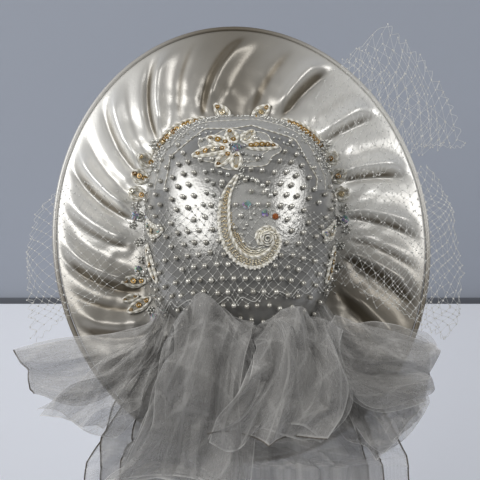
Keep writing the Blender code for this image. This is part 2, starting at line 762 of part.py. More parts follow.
def add_net_puff(name, border, hat):
    """A puff of net: it starts at the crown's wall, arches over the brim and ends in the air
    past the rim."""
    border = np.array(border, dtype=float)

    def place(x, y):
        direction = border[0, 0] + (border[-1, 0] - border[0, 0]) * x
        reach = np.interp(direction, border[:, 0], border[:, 1]) * BRIM_LENGTH / 2
        rise = np.interp(direction, border[:, 0], border[:, 2]) * CROWN_DEPTH
        angle = math.radians(direction)
        low = NET_ROOT_HEIGHT * CROWN_DEPTH
        flat = crown_base_radius(angle)
        power = 2.0 / CROWN_SHOULDER_POWER
        start = flat * (1.0 - NET_ROOT_HEIGHT ** power) ** (1.0 / power) + NET_SEAT
        radius = start + (reach - start) * y
        height = low + (rise - low) * y + NET_CREST * math.sin(math.pi * y)
        return (radius * math.cos(angle), radius * math.sin(angle), height)

    net_lattice(name, *NET_PUFF_CELLS, place, hat)


def add_net_crown(hat):
    """The band of net stretched over the lower crown."""
    def place(x, y):
        across = NET_CROWN_SPAN[0] + (NET_CROWN_SPAN[1] - NET_CROWN_SPAN[0]) * x
        along = NET_CROWN_BORDERS[0] + (NET_CROWN_BORDERS[1] - NET_CROWN_BORDERS[0]) * y
        along *= math.sqrt(1.0 - NET_CROWN_BOW * across ** 2)
        seat = crown_place(across, along)
        return seat + crown_normal(seat) * NET_CROWN_SEAT

    net_lattice("net_crown", *NET_CROWN_CELLS, place, hat)


def clear_of_hat(u, v, w):
    """Push a tulle point down the brim until it clears the crown's wall, and up off the brim."""
    reach = crown_half_length(u, w)
    if reach > 0.0:
        v = min(v, -reach - TULLE_SEAT)
    direction = math.atan2(v, u)
    if math.hypot(u, v) < brim_rim_radius(direction) + TULLE_CLEARANCE:
        w = max(w, brim_height(u, v) + TULLE_CLEARANCE)
    return (u, v, w)


def add_sheet(name, points, hat):
    """A tulle sheet with an even wall through rows of points."""
    rows = len(points)
    columns = len(points[0])
    flat = [clear_of_hat(*point) for row in points for point in row]
    mesh = mesh_from(name, flat, grid_faces(rows, columns, closed=False))
    sheet = add_object(name, mesh, TULLE, hat)
    add_solidify(sheet, TULLE_WALL, 0.0)


def falling_points(table, sections, columns, pleats):
    """Points of tulle that hangs from the crown, with pleats that run down it."""
    points = []
    for along, out, left, right, drop, pleat in smooth_rows(table, sections):
        row = []
        for column in range(columns):
            share = column / (columns - 1)
            side = (2 * share - 1) ** 2
            wave = math.cos(math.tau * pleats * share + PLEAT_DRIFT * along)
            u = (left + (right - left) * share) * BRIM_WIDTH / 2
            v = (along - drop * side) * BRIM_LENGTH / 2
            w = out * CROWN_DEPTH + pleat * PLEAT_HEIGHT * wave
            row.append((u, v, w))
        points.append(row)
    return points


def wing_points(table, sections, columns, pleats):
    """Points of a tulle wing that spreads sideways from its gather."""
    points = []
    for across_1, along_1, across_2, along_2, out, pleat in smooth_rows(table, sections):
        row = []
        for column in range(columns):
            share = column / (columns - 1)
            u = (across_1 + (across_2 - across_1) * share) * BRIM_WIDTH / 2
            v = (along_1 + (along_2 - along_1) * share) * BRIM_LENGTH / 2
            w = out * CROWN_DEPTH + pleat * PLEAT_HEIGHT * math.sin(math.tau * pleats * share)
            row.append((u, v, w))
        points.append(row)
    return points


def add_veil(hat):
    """The veil: it crosses the lower brim and then falls straight down past its rim."""
    points = falling_points(VEIL, *VEIL_GRID)
    lowest = points[-1]
    for step in range(1, VEIL_FALL_STEPS + 1):
        share = step / VEIL_FALL_STEPS
        flare = 1.0 + (VEIL_FLARE - 1.0) * share
        drop = Vector(FALL_DIRECTION) * (VEIL_FALL * share)
        points.append([(u * flare, v + drop.y, w + drop.z) for u, v, w in lowest])
    add_sheet("veil", points, hat)


def add_tulle(hat):
    """The tulle: veil, two wings and two fans at the sides, and two puffs in front."""
    add_veil(hat)
    add_sheet("tulle_loop_left", wing_points(LOOP_LEFT, *LOOP_GRID), hat)
    add_sheet("tulle_loop_right", wing_points(LOOP_RIGHT, *LOOP_GRID), hat)
    add_sheet("tulle_fan_left", wing_points(FAN_LEFT, *FAN_GRID), hat)
    add_sheet("tulle_fan_right", wing_points(FAN_RIGHT, *FAN_GRID), hat)
    add_sheet("tulle_puff_left", falling_points(PUFF_LEFT, *PUFF_GRID), hat)
    add_sheet("tulle_puff_right", falling_points(PUFF_RIGHT, *PUFF_GRID), hat)


def build_hat():
    """Build every piece in one collection, tipped by one empty at the head opening."""
    clear_scene()
    collection = bpy.data.collections.new("bridal_hat")
    bpy.context.scene.collection.children.link(collection)
    frame = bpy.data.objects.new("hat_frame", None)
    frame.rotation_euler = (TIP_ANGLE, 0.0, 0.0)
    collection.objects.link(frame)
    hat = {"collection": collection, "frame": frame}
    add_crown(hat)
    add_brim(hat)
    add_brim_edge(hat)
    add_crown_leaves(hat)
    add_brim_leaves(hat)
    add_brim_arcs(hat)
    add_paisley(hat)
    add_stones(hat)
    add_net_puff("net_left", NET_LEFT, hat)
    add_net_puff("net_right_upper", NET_RIGHT_UPPER, hat)
    add_net_puff("net_right_lower", NET_RIGHT_LOWER, hat)
    add_net_crown(hat)
    add_tulle(hat)


build_hat()
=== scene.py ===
"""Bridal hat: a satin crown and gathered brim with beaded lace, veiling net and tulle.

Places are worked out in the hat's own directions, u to the right, v up along the brim and w out
along the crown, and are then tipped about X as the hat sits in the frame.
"""

import math

import bmesh
import bpy
import numpy as np
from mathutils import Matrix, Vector


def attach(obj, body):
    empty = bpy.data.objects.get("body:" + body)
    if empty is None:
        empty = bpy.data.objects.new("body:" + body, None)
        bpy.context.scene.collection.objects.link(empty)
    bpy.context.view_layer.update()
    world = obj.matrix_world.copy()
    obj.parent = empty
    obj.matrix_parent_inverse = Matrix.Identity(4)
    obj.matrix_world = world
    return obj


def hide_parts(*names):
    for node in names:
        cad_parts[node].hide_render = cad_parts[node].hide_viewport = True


bl_info = {
    "name": "Bridal Hat",
    "version": (1, 0, 0),
    "blender": (4, 5, 0),
    "location": "View3D > Sidebar > Bridal Hat",
    "description": "Dresses the frame of a bridal hat with satin, beaded lace, net and tulle",
    "category": "Object",
}

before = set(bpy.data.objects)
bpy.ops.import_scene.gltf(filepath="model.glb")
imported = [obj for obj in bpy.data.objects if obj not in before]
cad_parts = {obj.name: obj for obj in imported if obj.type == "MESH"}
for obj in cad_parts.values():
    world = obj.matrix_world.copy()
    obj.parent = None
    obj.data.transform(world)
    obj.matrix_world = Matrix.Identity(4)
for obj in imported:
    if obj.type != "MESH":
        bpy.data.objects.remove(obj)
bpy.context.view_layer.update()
TIP = math.radians(60)


def joined(*directions):
    """Places from their two or three directions."""
    return np.stack(np.broadcast_arrays(*directions), axis=-1)


def tipped(points):
    """Hat places as frame places: a turn by TIP about X."""
    u, v, w = np.moveaxis(np.asarray(points, dtype=float), -1, 0)
    return joined(u, v * math.cos(TIP) - w * math.sin(TIP), v * math.sin(TIP) + w * math.cos(TIP))


def node_extent(name):
    """Lowest and highest hat place of a node, from its vertices turned back by TIP."""
    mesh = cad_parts[name].data
    flat = np.empty(len(mesh.vertices) * 3)
    mesh.vertices.foreach_get("co", flat)
    x, y, z = flat.reshape(-1, 3).T
    flat = joined(x, y * math.cos(TIP) + z * math.sin(TIP), z * math.cos(TIP) - y * math.sin(TIP))
    return flat.min(axis=0), flat.max(axis=0)


# Sizes read from the frame
CROWN_LOW, CROWN_HIGH = node_extent("crown")
CROWN_HALF_WIDTH = (CROWN_HIGH[0] - CROWN_LOW[0]) / 2
CROWN_HALF_LENGTH = (CROWN_HIGH[1] - CROWN_LOW[1]) / 2
CROWN_DEPTH = CROWN_HIGH[2]

# Crown and brim shape, as the frame has them
CROWN_WALL = 0.002
CROWN_BASE_POWER = 2.7
CROWN_SHOULDER_POWER = 0.85
BRIM_HALF_WIDTH = 0.167
BRIM_HALF_LENGTH = 0.1985
BRIM_ROLL = math.radians(7)
BRIM_CENTRE = (0.001, -0.001)
BRIM_WALL = 0.003
BRIM_DROOP = 0.012
BRIM_DROOP_POWER = 1.6
SEAM_GAP = 0.0004
# How far round it lace looks for the highest spot of the brim
BRIM_FEEL = 0.0025

# Gathers of the brim: direction at the rim and at the crown in degrees, height and width.
GATHERS = (
    # rim, crown, height, width
    (2, 13, 0.85, 4.5),
    (13, 23, 0.45, 4.5),
    (23, 32, 1.00, 4.5),
    (34, 42, 0.45, 5.0),
    (45, 52, 0.90, 4.5),
    (55, 62, 0.40, 5.0),
    (65, 74, 1.00, 5.0),
    (76, 86, 0.60, 5.0),
    (88, 106, 1.00, 5.0),
    (100, 116, 0.60, 4.5),
    (111, 129, 1.00, 5.0),
    (121, 138, 0.50, 4.5),
    (130, 147, 0.90, 5.0),
    (141, 159, 0.60, 4.5),
    (151, 170, 1.00, 5.5),
    (166, 186, 0.75, 5.0),
    (181, 208, 1.00, 5.5),
    (193, 218, 0.55, 4.5),
    (205, 227, 0.85, 5.5),
    (220, 238, 0.60, 5.5),
    (236, 252, 0.80, 5.5),
    (252, 265, 0.60, 5.5),
    (267, 279, 0.80, 5.5),
    (282, 293, 0.60, 5.5),
    (297, 306, 0.80, 5.5),
    (311, 319, 0.60, 5.0),
    (324, 331, 0.90, 4.5),
    (341, 350, 0.95, 5.0),
    (351, 361, 0.60, 4.5),
)
FOLD_HEIGHT = 0.008
FOLD_START = 0.10
FOLD_FULL = 0.36
FOLD_FADE = 0.70
# Gathers bend a little more towards the rim than the frame's, which have a power of 0.8.
FOLD_SWIRL_POWER = 1.3
FOLD_VALLEY_DEPTH = 0.45
FOLD_VALLEY_SHIFT = 1.5
# Sides of the brim with painted shade, where the satin's gloss turns away: direction, reach in degrees
# and depth.
BRIM_PAINTED_SHADE_SIDES = ((92, 26, 0.84), (210, 28, 0.76), (330, 30, 0.92))

# Lace leaves on the crown, as the frame has them: root as shares of the crown's half sizes,
# heading in degrees, length and width as shares of LEAF_LENGTH and LEAF_WIDTH, and the bend in
# degrees. Sequins are a count along the middle and a kind.
LEAF_LENGTH = 0.020
LEAF_WIDTH = 0.0085
LEAF_FULLNESS = 0.7
LEAF_TIPS = (0.06, 0.96)
CROWN_LEAVES = (
    # name, across, along, heading, length, width, bend, sequins, kind
    ("flower_petal_1", -0.055, 0.600, 105, 0.85, 1.00, 0, 2, "amber"),
    ("flower_petal_2", 0.030, 0.605, 62, 0.85, 1.05, 0, 2, "clear"),
    ("flower_petal_3", 0.050, 0.560, 6, 1.40, 0.95, -14, 5, "amber"),
    ("flower_petal_4", -0.110, 0.545, 188, 1.55, 1.00, 14, 4, "mixed"),
    ("flower_petal_5", -0.105, 0.590, 152, 1.05, 0.95, 0, 3, "amber"),
    ("flower_petal_6", -0.095, 0.510, 232, 0.90, 0.95, 0, 2, "amber"),
    ("flower_petal_7", -0.030, 0.500, 268, 0.80, 0.90, 10, 2, "mixed"),
    ("crescent_left", -0.930, 0.020, 350, 1.65, 1.05, 80, 3, "crystal"),
    ("crescent_right", 0.950, 0.020, 190, 1.60, 1.05, -80, 3, "crystal"),
    ("leaf_left", -0.930, -0.190, 312, 1.80, 1.05, 12, 3, "amber"),
    ("leaf_right", 0.945, -0.200, 228, 1.70, 1.05, -12, 4, "amber"),
)
# Lace leaves on the brim: root by direction in degrees and distance out from the crown as a share
# of LEAF_WIDTH, and the heading as a turn from straight outward.
BRIM_LEAVES = (
    # name, direction, out, heading, length, width, bend, sequins, kind
    ("petal_top_left", 95, 0.26, 38, 1.00, 1.05, 0, 3, "mixed"),
    ("petal_top_right", 84, 0.26, -42, 1.05, 1.05, 0, 3, "mixed"),
    ("loop_left_1", 141, 0.24, 12, 0.75, 1.20, 0, 2, "mixed"),
    ("loop_left_2", 150, 0.24, 4, 0.80, 1.20, 0, 3, "amber"),
    ("loop_left_3", 159, 0.24, 0, 0.75, 1.20, 0, 2, "mixed"),
    ("loop_right_1", 39, 0.24, 8, 0.70, 1.20, 0, 1, "amber"),
    ("loop_right_2", 30, 0.24, 4, 0.70, 1.20, 0, 1, "amber"),
    ("loop_right_3", 21, 0.24, 0, 0.65, 1.20, 0, 1, "clear"),
    ("leaf_low_1", 208, 0.24, -26, 1.00, 0.95, 0, 3, "amber"),
    ("leaf_low_2", 217, 0.24, -4, 1.15, 0.95, 0, 3, "amber"),
    ("leaf_low_3", 212.5, 1.40, -14, 0.70, 0.60, 0, 2, "amber"),
)
# Lace arcs on the brim: directions of their ends, distance out and width as shares of LEAF_WIDTH.
BRIM_ARCS = (
    # name, from, to, out, width, sequins, kind
    ("arc_left", 138, 107, 0.76, 1.05, 12, "mixed"),
    ("arc_right", 43, 70, 0.76, 1.05, 11, "amber"),
)
# Middle line of the paisley's band, and its width as a share of PAISLEY_WIDTH.
PAISLEY_WIDTH = 0.009
PAISLEY_PATH = (
    # across, along, width
    (-0.03, 0.29, 0.22),
    (-0.12, 0.15, 0.61),
    (-0.155, -0.02, 0.95),
    (-0.13, -0.22, 1.00),
    (-0.02, -0.37, 1.00),
    (0.14, -0.42, 0.95),
    (0.29, -0.36, 0.83),
    (0.355, -0.24, 0.67),
    (0.28, -0.155, 0.55),
    (0.18, -0.20, 0.45),
    (0.20, -0.275, 0.33),
)
# The paisley's open side, where its ground ends under a row of beads, and their radius
PAISLEY_OPEN_SIDE = ((-0.03, 0.29), (0.12, 0.26), (0.26, 0.17), (0.345, 0.02), (0.355, -0.24))
PAISLEY_BEAD = 0.0022
# Beads along the paisley's band: two rows fill it, and three finer ones follow its inner side.
PAISLEY_BEAD_ROWS = (
    # side as a share of the half width, start, end, beads, radius, lift
    (0.0, 0.06, 0.94, 52, 0.0010, 0.0012),
    (0.36, 0.06, 0.94, 46, 0.0009, 0.0012),
    (-0.36, 0.06, 0.94, 46, 0.0009, 0.0012),
    (1.35, 0.20, 0.62, 40, 0.0008, 0.0008),
    (1.75, 0.25, 0.60, 36, 0.0008, 0.0008),
    (2.15, 0.30, 0.58, 32, 0.0008, 0.0008),
)
# The paisley's scroll: its middle as shares of the crown's half sizes, radius and turns
SCROLL_PLACE = (0.265, -0.232)
SCROLL_RADIUS = 0.0068
SCROLL_TURNS = 3
# Lift of lace off the crown and off the brim, and of the organza under it
CROWN_LACE_LIFT = 0.0006
BRIM_LACE_LIFT = 0.0008
ORGANZA_LIFT = 0.0005
# Organza behind the flower: middle across and along, and half width and half length
ORGANZA_FIELD = (-0.02, 0.55, 0.40, 0.19)
# Small beads stitched between the motifs of the crown: a string of beads for each row, through
# two places as shares of the crown's half sizes, with the number of beads and their radius.
CROWN_STRINGS = (
    # across 1, along 1, across 2, along 2, beads, radius
    (0.060, 0.44, -0.070, 0.20, 15, 0.0009),
    (0.090, 0.44, -0.040, 0.19, 15, 0.0009),
    (0.06, 0.49, 0.30, 0.44, 4, 0.0014),
    (-0.34, 0.34, -0.12, 0.31, 4, 0.0021),
    (-0.33, 0.25, -0.10, 0.19, 4, 0.0021),
    (-0.33, 0.16, -0.19, 0.10, 3, 0.0021),
    (-0.36, 0.05, -0.22, 0.00, 2, 0.0021),
    (0.13, -0.02, 0.02, -0.20, 5, 0.0014),
    (0.04, -0.26, 0.14, -0.31, 3, 0.0014),
    (-0.60, 0.72, -0.34, 0.80, 7, 0.0011),
    (-0.74, 0.60, -0.58, 0.70, 6, 0.0011),
    (-0.52, 0.66, -0.30, 0.72, 6, 0.0011),
    (0.34, 0.66, 0.62, 0.56, 7, 0.0012),
    (0.40, 0.76, 0.66, 0.66, 7, 0.0011),
    (0.64, 0.52, 0.80, 0.32, 7, 0.0011),
    (0.72, 0.60, 0.86, 0.40, 6, 0.0011),
)
# Dark blue beads at the heart of the flower, as shares of the crown's half sizes.
BLUE_BEADS = ((-0.073, 0.572), (0.050, 0.558), (-0.066, 0.504), (0.022, 0.494), (0.187, 0.470))
# Rosettes of clear beads: direction, distance out from the crown, rings of beads and radius.
ROSETTES = (
    # direction, out, beads, radius
    (133.5, 0.0100, 7, 0.0019),
    (46.5, 0.0100, 7, 0.0019),
    (171.0, 0.0045, 10, 0.0016),
    (176.0, 0.0110, 6, 0.0014),
    (165.5, 0.0090, 6, 0.0014),
    (7.0, 0.0045, 10, 0.0016),
    (1.5, 0.0105, 6, 0.0014),
    (13.0, 0.0095, 6, 0.0014),
    (204.0, 0.0060, 7, 0.0013),
    (222.0, 0.0060, 7, 0.0013),
    (196.0, 0.0030, 6, 0.0013),
    (186.0, 0.0050, 7, 0.0013),
    (-8.0, 0.0050, 7, 0.0013),
    (-20.0, 0.0030, 6, 0.0013),
)
# Rows of small beads along the crown's shoulder: share of the crown's reach, start and end in
# degrees, and beads.
SHOULDER_ROWS = (
    # share, start, end, beads
    (0.975, 30, 150, 70),
    (0.945, 32, 148, 60),
    (0.915, 34, 76, 26),
    (0.915, 102, 146, 28),
    (0.880, 38, 72, 18),
    (0.880, 108, 142, 18),
    (0.965, 160, 196, 12),
    (0.965, -18, 20, 12),
    (0.970, 204, 220, 8),
    (0.970, -40, -26, 8),
)
# Pearls of the crown: steps between rows and along them as shares of the half sizes.
PEARL_ROWS = (-0.93, 0.72, 0.098)
PEARL_STEP = 0.112
PEARL_CLEARANCE = 0.066
# Veiling net, as the frame has it: outer border of each puff by direction in degrees, reach and
# rise as shares of half the brim's length and of the crown's depth.
NET_LEFT = (
    # direction, reach, rise
    (166, 0.83, 0.16),
    (177, 0.92, 0.20),
    (189, 0.96, 0.20),
    (198, 0.99, 0.18),
    (208, 1.04, 0.12),
)
NET_RIGHT_UPPER = (
    # direction, reach, rise
    (21, 1.12, 0.16),
    (30, 1.13, 0.20),
    (43, 1.17, 0.22),
    (54, 1.17, 0.20),
    (60, 0.90, 0.16),
)
NET_RIGHT_LOWER = (
    # direction, reach, rise
    (-30, 1.05, 0.12),
    (-21, 1.05, 0.16),
    (-12, 1.03, 0.20),
    (3, 0.97, 0.20),
    (19, 0.93, 0.16),
)
# Layers of each puff: cell width and height in metres and the turn of its threads in degrees.
NET_PUFFS = (
    # node, border, side with a border thread, layers
    ("net_left", NET_LEFT, -1, (0.0095, 0.0080, 0)),
    ("net_right_upper", NET_RIGHT_UPPER, 0, (0.0085, 0.0210, -6), (0.0095, 0.0170, 8),
     (0.0080, 0.0240, -18)),
    ("net_right_lower", NET_RIGHT_LOWER, 0, (0.0085, 0.0095, 4), (0.0085, 0.0120, -12)),
)
# How far out a puff's grid of threads has its middle, and its reach from there
NET_MIDDLE = 0.155
NET_HALF_SPAN = 0.11
NET_ROOT_HEIGHT = 0.15
NET_SEAT = 0.0010
NET_CREST = 0.026
NET_CROWN_SPAN = (-0.97, 0.97)
NET_CROWN_BORDERS = (0.05, -0.74)
NET_CROWN_BOW = 0.28
NET_CROWN_CELLS = (44, 20)
# Zigzag of a puff's border thread: waves, and how far it swings
RIM_WAVES = 15
RIM_SWING = 0.012
# Tulle, as the frame has it: one row for each section from the gather on the crown to the hem.
# Along and the two sides are shares of the brim's half length and half width, out is a share of
# the crown's depth, drop is how far the sides hang below the middle, and pleat is its fullness.
PUFF_LEFT = (
    # along, out, left, right, drop, pleat
    (-0.40, 0.31, -0.30, 0.04, 0.00, 0.2),
    (-0.54, 0.49, -0.35, 0.05, 0.02, 0.5),
    (-0.49, 0.68, -0.36, 0.05, 0.04, 0.7),
    (-0.42, 0.82, -0.31, 0.05, 0.08, 0.7),
    (-0.40, 0.94, -0.30, 0.05, 0.11, 0.7),
    (-0.46, 1.04, -0.32, 0.05, 0.11, 0.7),
    (-0.57, 1.04, -0.36, 0.05, 0.09, 0.8),
    (-0.71, 0.89, -0.40, 0.05, 0.06, 1.0),
    (-0.86, 0.68, -0.44, 0.04, 0.04, 1.0),
    (-1.01, 0.54, -0.53, 0.01, 0.02, 1.0),
    (-1.13, 0.45, -0.61, 0.00, 0.00, 1.0),
)
PUFF_RIGHT = (
    # along, out, left, right, drop, pleat
    (-0.40, 0.35, 0.10, 0.36, 0.00, 0.2),
    (-0.54, 0.54, 0.10, 0.44, 0.01, 0.5),
    (-0.51, 0.71, 0.10, 0.46, 0.04, 0.7),
    (-0.45, 0.82, 0.10, 0.44, 0.07, 0.7),
    (-0.43, 0.94, 0.10, 0.43, 0.08, 0.7),
    (-0.48, 1.06, 0.10, 0.44, 0.08, 0.7),
    (-0.58, 1.13, 0.10, 0.47, 0.07, 0.8),
    (-0.71, 1.11, 0.07, 0.49, 0.05, 1.0),
    (-0.83, 1.02, -0.03, 0.46, 0.03, 1.0),
    (-0.93, 0.90, -0.11, 0.38, 0.01, 1.0),
)
VEIL = (
    # along, out, left, right, drop, pleat
    (-0.40, 0.11, -0.37, 0.37, 0.00, 0.2),
    (-0.57, 0.15, -0.48, 0.49, 0.00, 0.6),
    (-0.76, 0.16, -0.62, 0.65, 0.00, 0.8),
    (-0.93, 0.14, -0.73, 0.77, 0.00, 0.8),
    (-1.04, 0.07, -0.76, 0.83, 0.00, 1.0),
)
VEIL_FALL = 0.085
VEIL_FLARE = 1.08
# Wings: places of a section's two ends, as shares of the brim's half width and half length.
LOOP_LEFT = (
    # across 1, along 1, across 2, along 2, out, pleat
    (-0.41, -0.32, -0.35, -0.36, 0.24, 0.2),
    (-0.50, -0.45, -0.43, -0.54, 0.29, 0.6),
    (-0.67, -0.48, -0.59, -0.70, 0.29, 0.9),
    (-0.91, -0.51, -0.81, -0.81, 0.25, 0.9),
    (-1.13, -0.56, -1.03, -0.77, 0.19, 0.6),
    (-1.16, -0.57, -1.07, -0.78, 0.26, 0.4),
    (-1.12, -0.56, -1.03, -0.79, 0.34, 0.6),
    (-0.90, -0.51, -0.84, -0.81, 0.40, 0.9),
    (-0.67, -0.48, -0.60, -0.71, 0.41, 0.9),
    (-0.50, -0.46, -0.46, -0.56, 0.39, 0.6),
    (-0.44, -0.42, -0.40, -0.47, 0.37, 0.3),
)
FAN_LEFT = (
    # across 1, along 1, across 2, along 2, out, pleat
    (-0.38, -0.34, -0.32, -0.38, 0.40, 0.2),
    (-0.48, -0.51, -0.38, -0.59, 0.55, 0.6),
    (-0.62, -0.60, -0.46, -0.71, 0.54, 1.0),
    (-0.80, -0.71, -0.55, -0.83, 0.49, 1.0),
    (-0.99, -0.83, -0.69, -0.92, 0.42, 0.8),
)
LOOP_RIGHT = (
    # across 1, along 1, across 2, along 2, out, pleat
    (0.41, -0.32, 0.37, -0.36, 0.32, 0.2),
    (0.53, -0.46, 0.47, -0.58, 0.38, 0.6),
    (0.71, -0.49, 0.62, -0.71, 0.38, 0.9),
    (0.89, -0.49, 0.81, -0.77, 0.34, 0.9),
    (0.98, -0.52, 0.95, -0.74, 0.30, 0.6),
    (1.01, -0.56, 0.96, -0.73, 0.36, 0.4),
    (0.97, -0.53, 0.92, -0.76, 0.44, 0.6),
    (0.84, -0.50, 0.73, -0.80, 0.50, 0.9),
    (0.67, -0.49, 0.58, -0.74, 0.51, 0.9),
    (0.54, -0.47, 0.50, -0.60, 0.49, 0.6),
    (0.48, -0.43, 0.45, -0.48, 0.46, 0.3),
)
FAN_RIGHT = (
    # across 1, along 1, across 2, along 2, out, pleat
    (0.41, -0.32, 0.37, -0.36, 0.20, 0.2),
    (0.54, -0.51, 0.45, -0.61, 0.25, 0.4),
    (0.70, -0.63, 0.55, -0.79, 0.27, 0.6),
    (0.86, -0.73, 0.65, -0.92, 0.27, 0.6),
    (0.93, -0.82, 0.74, -0.99, 0.25, 0.6),
)
PLEAT_HEIGHT = 0.004
PLEAT_DRIFT = 0.6
# Crushing across, along and out: wavelength as a share of the sheet, and depth
CRUSH = ((0.9, 0.0040), (0.9, 0.0050), (0.55, 0.0060))
TULLE_SEAT = 0.0008
TULLE_CLEARANCE = 0.003
TULLE_ROWS = 90
TULLE_COLUMNS = 110
VEIL_FALL_ROWS = 26
# Tone of a pressed fold, where a rolled edge has 1: denser cloth, painted paler as a painted highlight
FOLD_DENSITY_AND_HIGHLIGHT = 0.28
# Sheets of tulle: table, whether it falls or spreads sideways, pleats, how hard it is crushed,
# which edges have a bound hem, and the width and length it was cut to. Then for each layer its
# width as a share of the table's and how much of the light it stops.
SHEETS = (
    # node, table, falls, pleats, crush, bound, flat width, flat length, layers
    ("veil", VEIL, True, 6, 1.0, "sides", 0.235, 0.220, (1.05, 0.28), (0.92, 0.58), (0.80, 0.58)),
    ("tulle_loop_left", LOOP_LEFT, False, 1.5, 1.2, "tip", 0.060, 0.305, (1.0, 0.38)),
    ("tulle_loop_right", LOOP_RIGHT, False, 1.5, 1.2, "", 0.060, 0.250, (1.0, 0.46), (1.2, 0.32)),
    ("tulle_fan_left", FAN_LEFT, False, 2, 1.1, "", 0.065, 0.140, (1.0, 0.36), (1.24, 0.32)),
    ("tulle_fan_right", FAN_RIGHT, False, 2, 1.1, "", 0.060, 0.143, (1.0, 0.50), (1.24, 0.48),
     (1.5, 0.38)),
    ("tulle_puff_left", PUFF_LEFT, True, 2.5, 1.9, "", 0.105, 0.240, (1.0, 0.40), (1.2, 0.38),
     (1.1, 0.42)),
    ("tulle_puff_right", PUFF_RIGHT, True, 2.5, 1.9, "foot", 0.105, 0.197, (1.0, 0.40), (1.2, 0.38),
     (1.1, 0.42)),
)


def smooth_step(value, low, high):
    """Rise from 0 at low to 1 at high with soft ends: 3 s^2 - 2 s^3."""
    share = np.clip((value - low) / (high - low), 0.0, 1.0)
    return share * share * (3.0 - 2.0 * share)


def ripple(points, wavelength, seed):
    """Smooth unevenness from -1 to 1: a sum of sine waves in fixed but scattered directions."""
    random = np.random.default_rng(seed)
    total = 0.0
    waves = 9
    for _ in range(waves):
        heading = random.normal(size=points.shape[-1])
        heading *= math.tau / wavelength / np.linalg.norm(heading) * random.uniform(0.6, 1.5)
        total = total + np.sin(points @ heading + random.uniform(0, math.tau))
    return total / math.sqrt(waves)


def crown_reach(direction, inset=0.0):
    """Distance to the crown's base outline: a superellipse of power CROWN_BASE_POWER."""
    across = np.abs(np.cos(direction) / (CROWN_HALF_WIDTH - inset)) ** CROWN_BASE_POWER
    along = np.abs(np.sin(direction) / (CROWN_HALF_LENGTH - inset)) ** CROWN_BASE_POWER
    return (across + along) ** (-1.0 / CROWN_BASE_POWER)


def crown_fullness(points):
    """1 on the crown, less inside: the base superellipse closed over by a rounded shoulder."""
    u, v, w = np.moveaxis(points, -1, 0)
    base = (np.abs(u / CROWN_HALF_WIDTH) ** CROWN_BASE_POWER
            + np.abs(v / CROWN_HALF_LENGTH) ** CROWN_BASE_POWER) ** (1.0 / CROWN_BASE_POWER)
    power = 2.0 / CROWN_SHOULDER_POWER
    return base ** power + (np.maximum(w, 0.0) / CROWN_DEPTH) ** power


def crown_height(u, v):
    """Height of the crown over places of the brim plane, solved from its fullness."""
    power = CROWN_SHOULDER_POWER / 2.0
    return CROWN_DEPTH * np.maximum(1.0 - crown_fullness(joined(u, v, 0.0)), 0.0) ** power


def unit(vectors):
    """Vectors of length 1."""
    return vectors / np.linalg.norm(vectors, axis=-1, keepdims=True)


def crown_normals(points):
    """Outward directions of the crown: the slope of its fullness."""
    step = 1e-5
    centre = points.copy()
    centre[..., 2] = np.maximum(centre[..., 2], 2 * step)
    slopes = [crown_fullness(centre + move) - crown_fullness(centre - move)
              for move in np.eye(3) * step]
    return unit(joined(*slopes))


def onto_crown(points, direction, lift):
    """Drop points along a direction onto the crown by halving, then lift them off it."""
    low = np.full(points.shape[:-1], -0.03)
    high = -low
    for _ in range(30):
        middle = (low + high) / 2
        inside = crown_fullness(points + direction * middle[..., None]) < 1.0
        low = np.where(inside, middle, low)
        high = np.where(inside, high, middle)
    seats = points + direction * low[..., None]
    return off_crown(seats, lift)


def crown_place(across, along):
    """Points of the crown from shares of its half sizes."""
    u = np.asarray(across, dtype=float) * CROWN_HALF_WIDTH
    v = np.asarray(along, dtype=float) * CROWN_HALF_LENGTH
    return joined(u, v, crown_height(u, v))


def ring_place(share, angle):
    """Points of the crown on a ring: a share of the reach of its base in each direction."""
    reach = crown_reach(angle) * share
    return crown_place(reach * np.cos(angle) / CROWN_HALF_WIDTH,
                       reach * np.sin(angle) / CROWN_HALF_LENGTH)


def off_crown(places, lift):
    """Points of the crown lifted off it along its normals."""
    return places + crown_normals(places) * np.broadcast_to(lift, places.shape[:-1])[..., None]


def rim_reach(direction):
    """Distance to the brim's rim: an ellipse turned by BRIM_ROLL."""
    turned = direction - BRIM_ROLL
    return 1.0 / np.hypot(np.cos(turned) / BRIM_HALF_WIDTH, np.sin(turned) / BRIM_HALF_LENGTH)


def gather_turns(direction, share):
    """For each gather, the turn away from its swirled line as a share of its width, and its
    height."""
    for rim, crown, height, width in GATHERS:
        centre = np.radians(crown + (rim - crown) * share ** FOLD_SWIRL_POWER)
        turn = np.degrees((direction - centre + math.pi) % math.tau - math.pi)
        yield turn / width, height


def tuck_painted_shade(direction, share):
    """How deep in the tuck under a gather a place lies, from 0 to 1, which sets the painted shade
    there.
    """
    lean = -np.tanh(3.0 * np.cos(direction))
    rise = smooth_step(share, 0.06, 0.30) * (1.0 - smooth_step(share, 0.68, 0.97))
    deep = sum(height ** 2 * np.exp(-(4.2 * (away - 0.75 * lean)) ** 2)
               for away, height in gather_turns(direction, share))
    return np.clip(rise * deep, 0.0, 1.0)


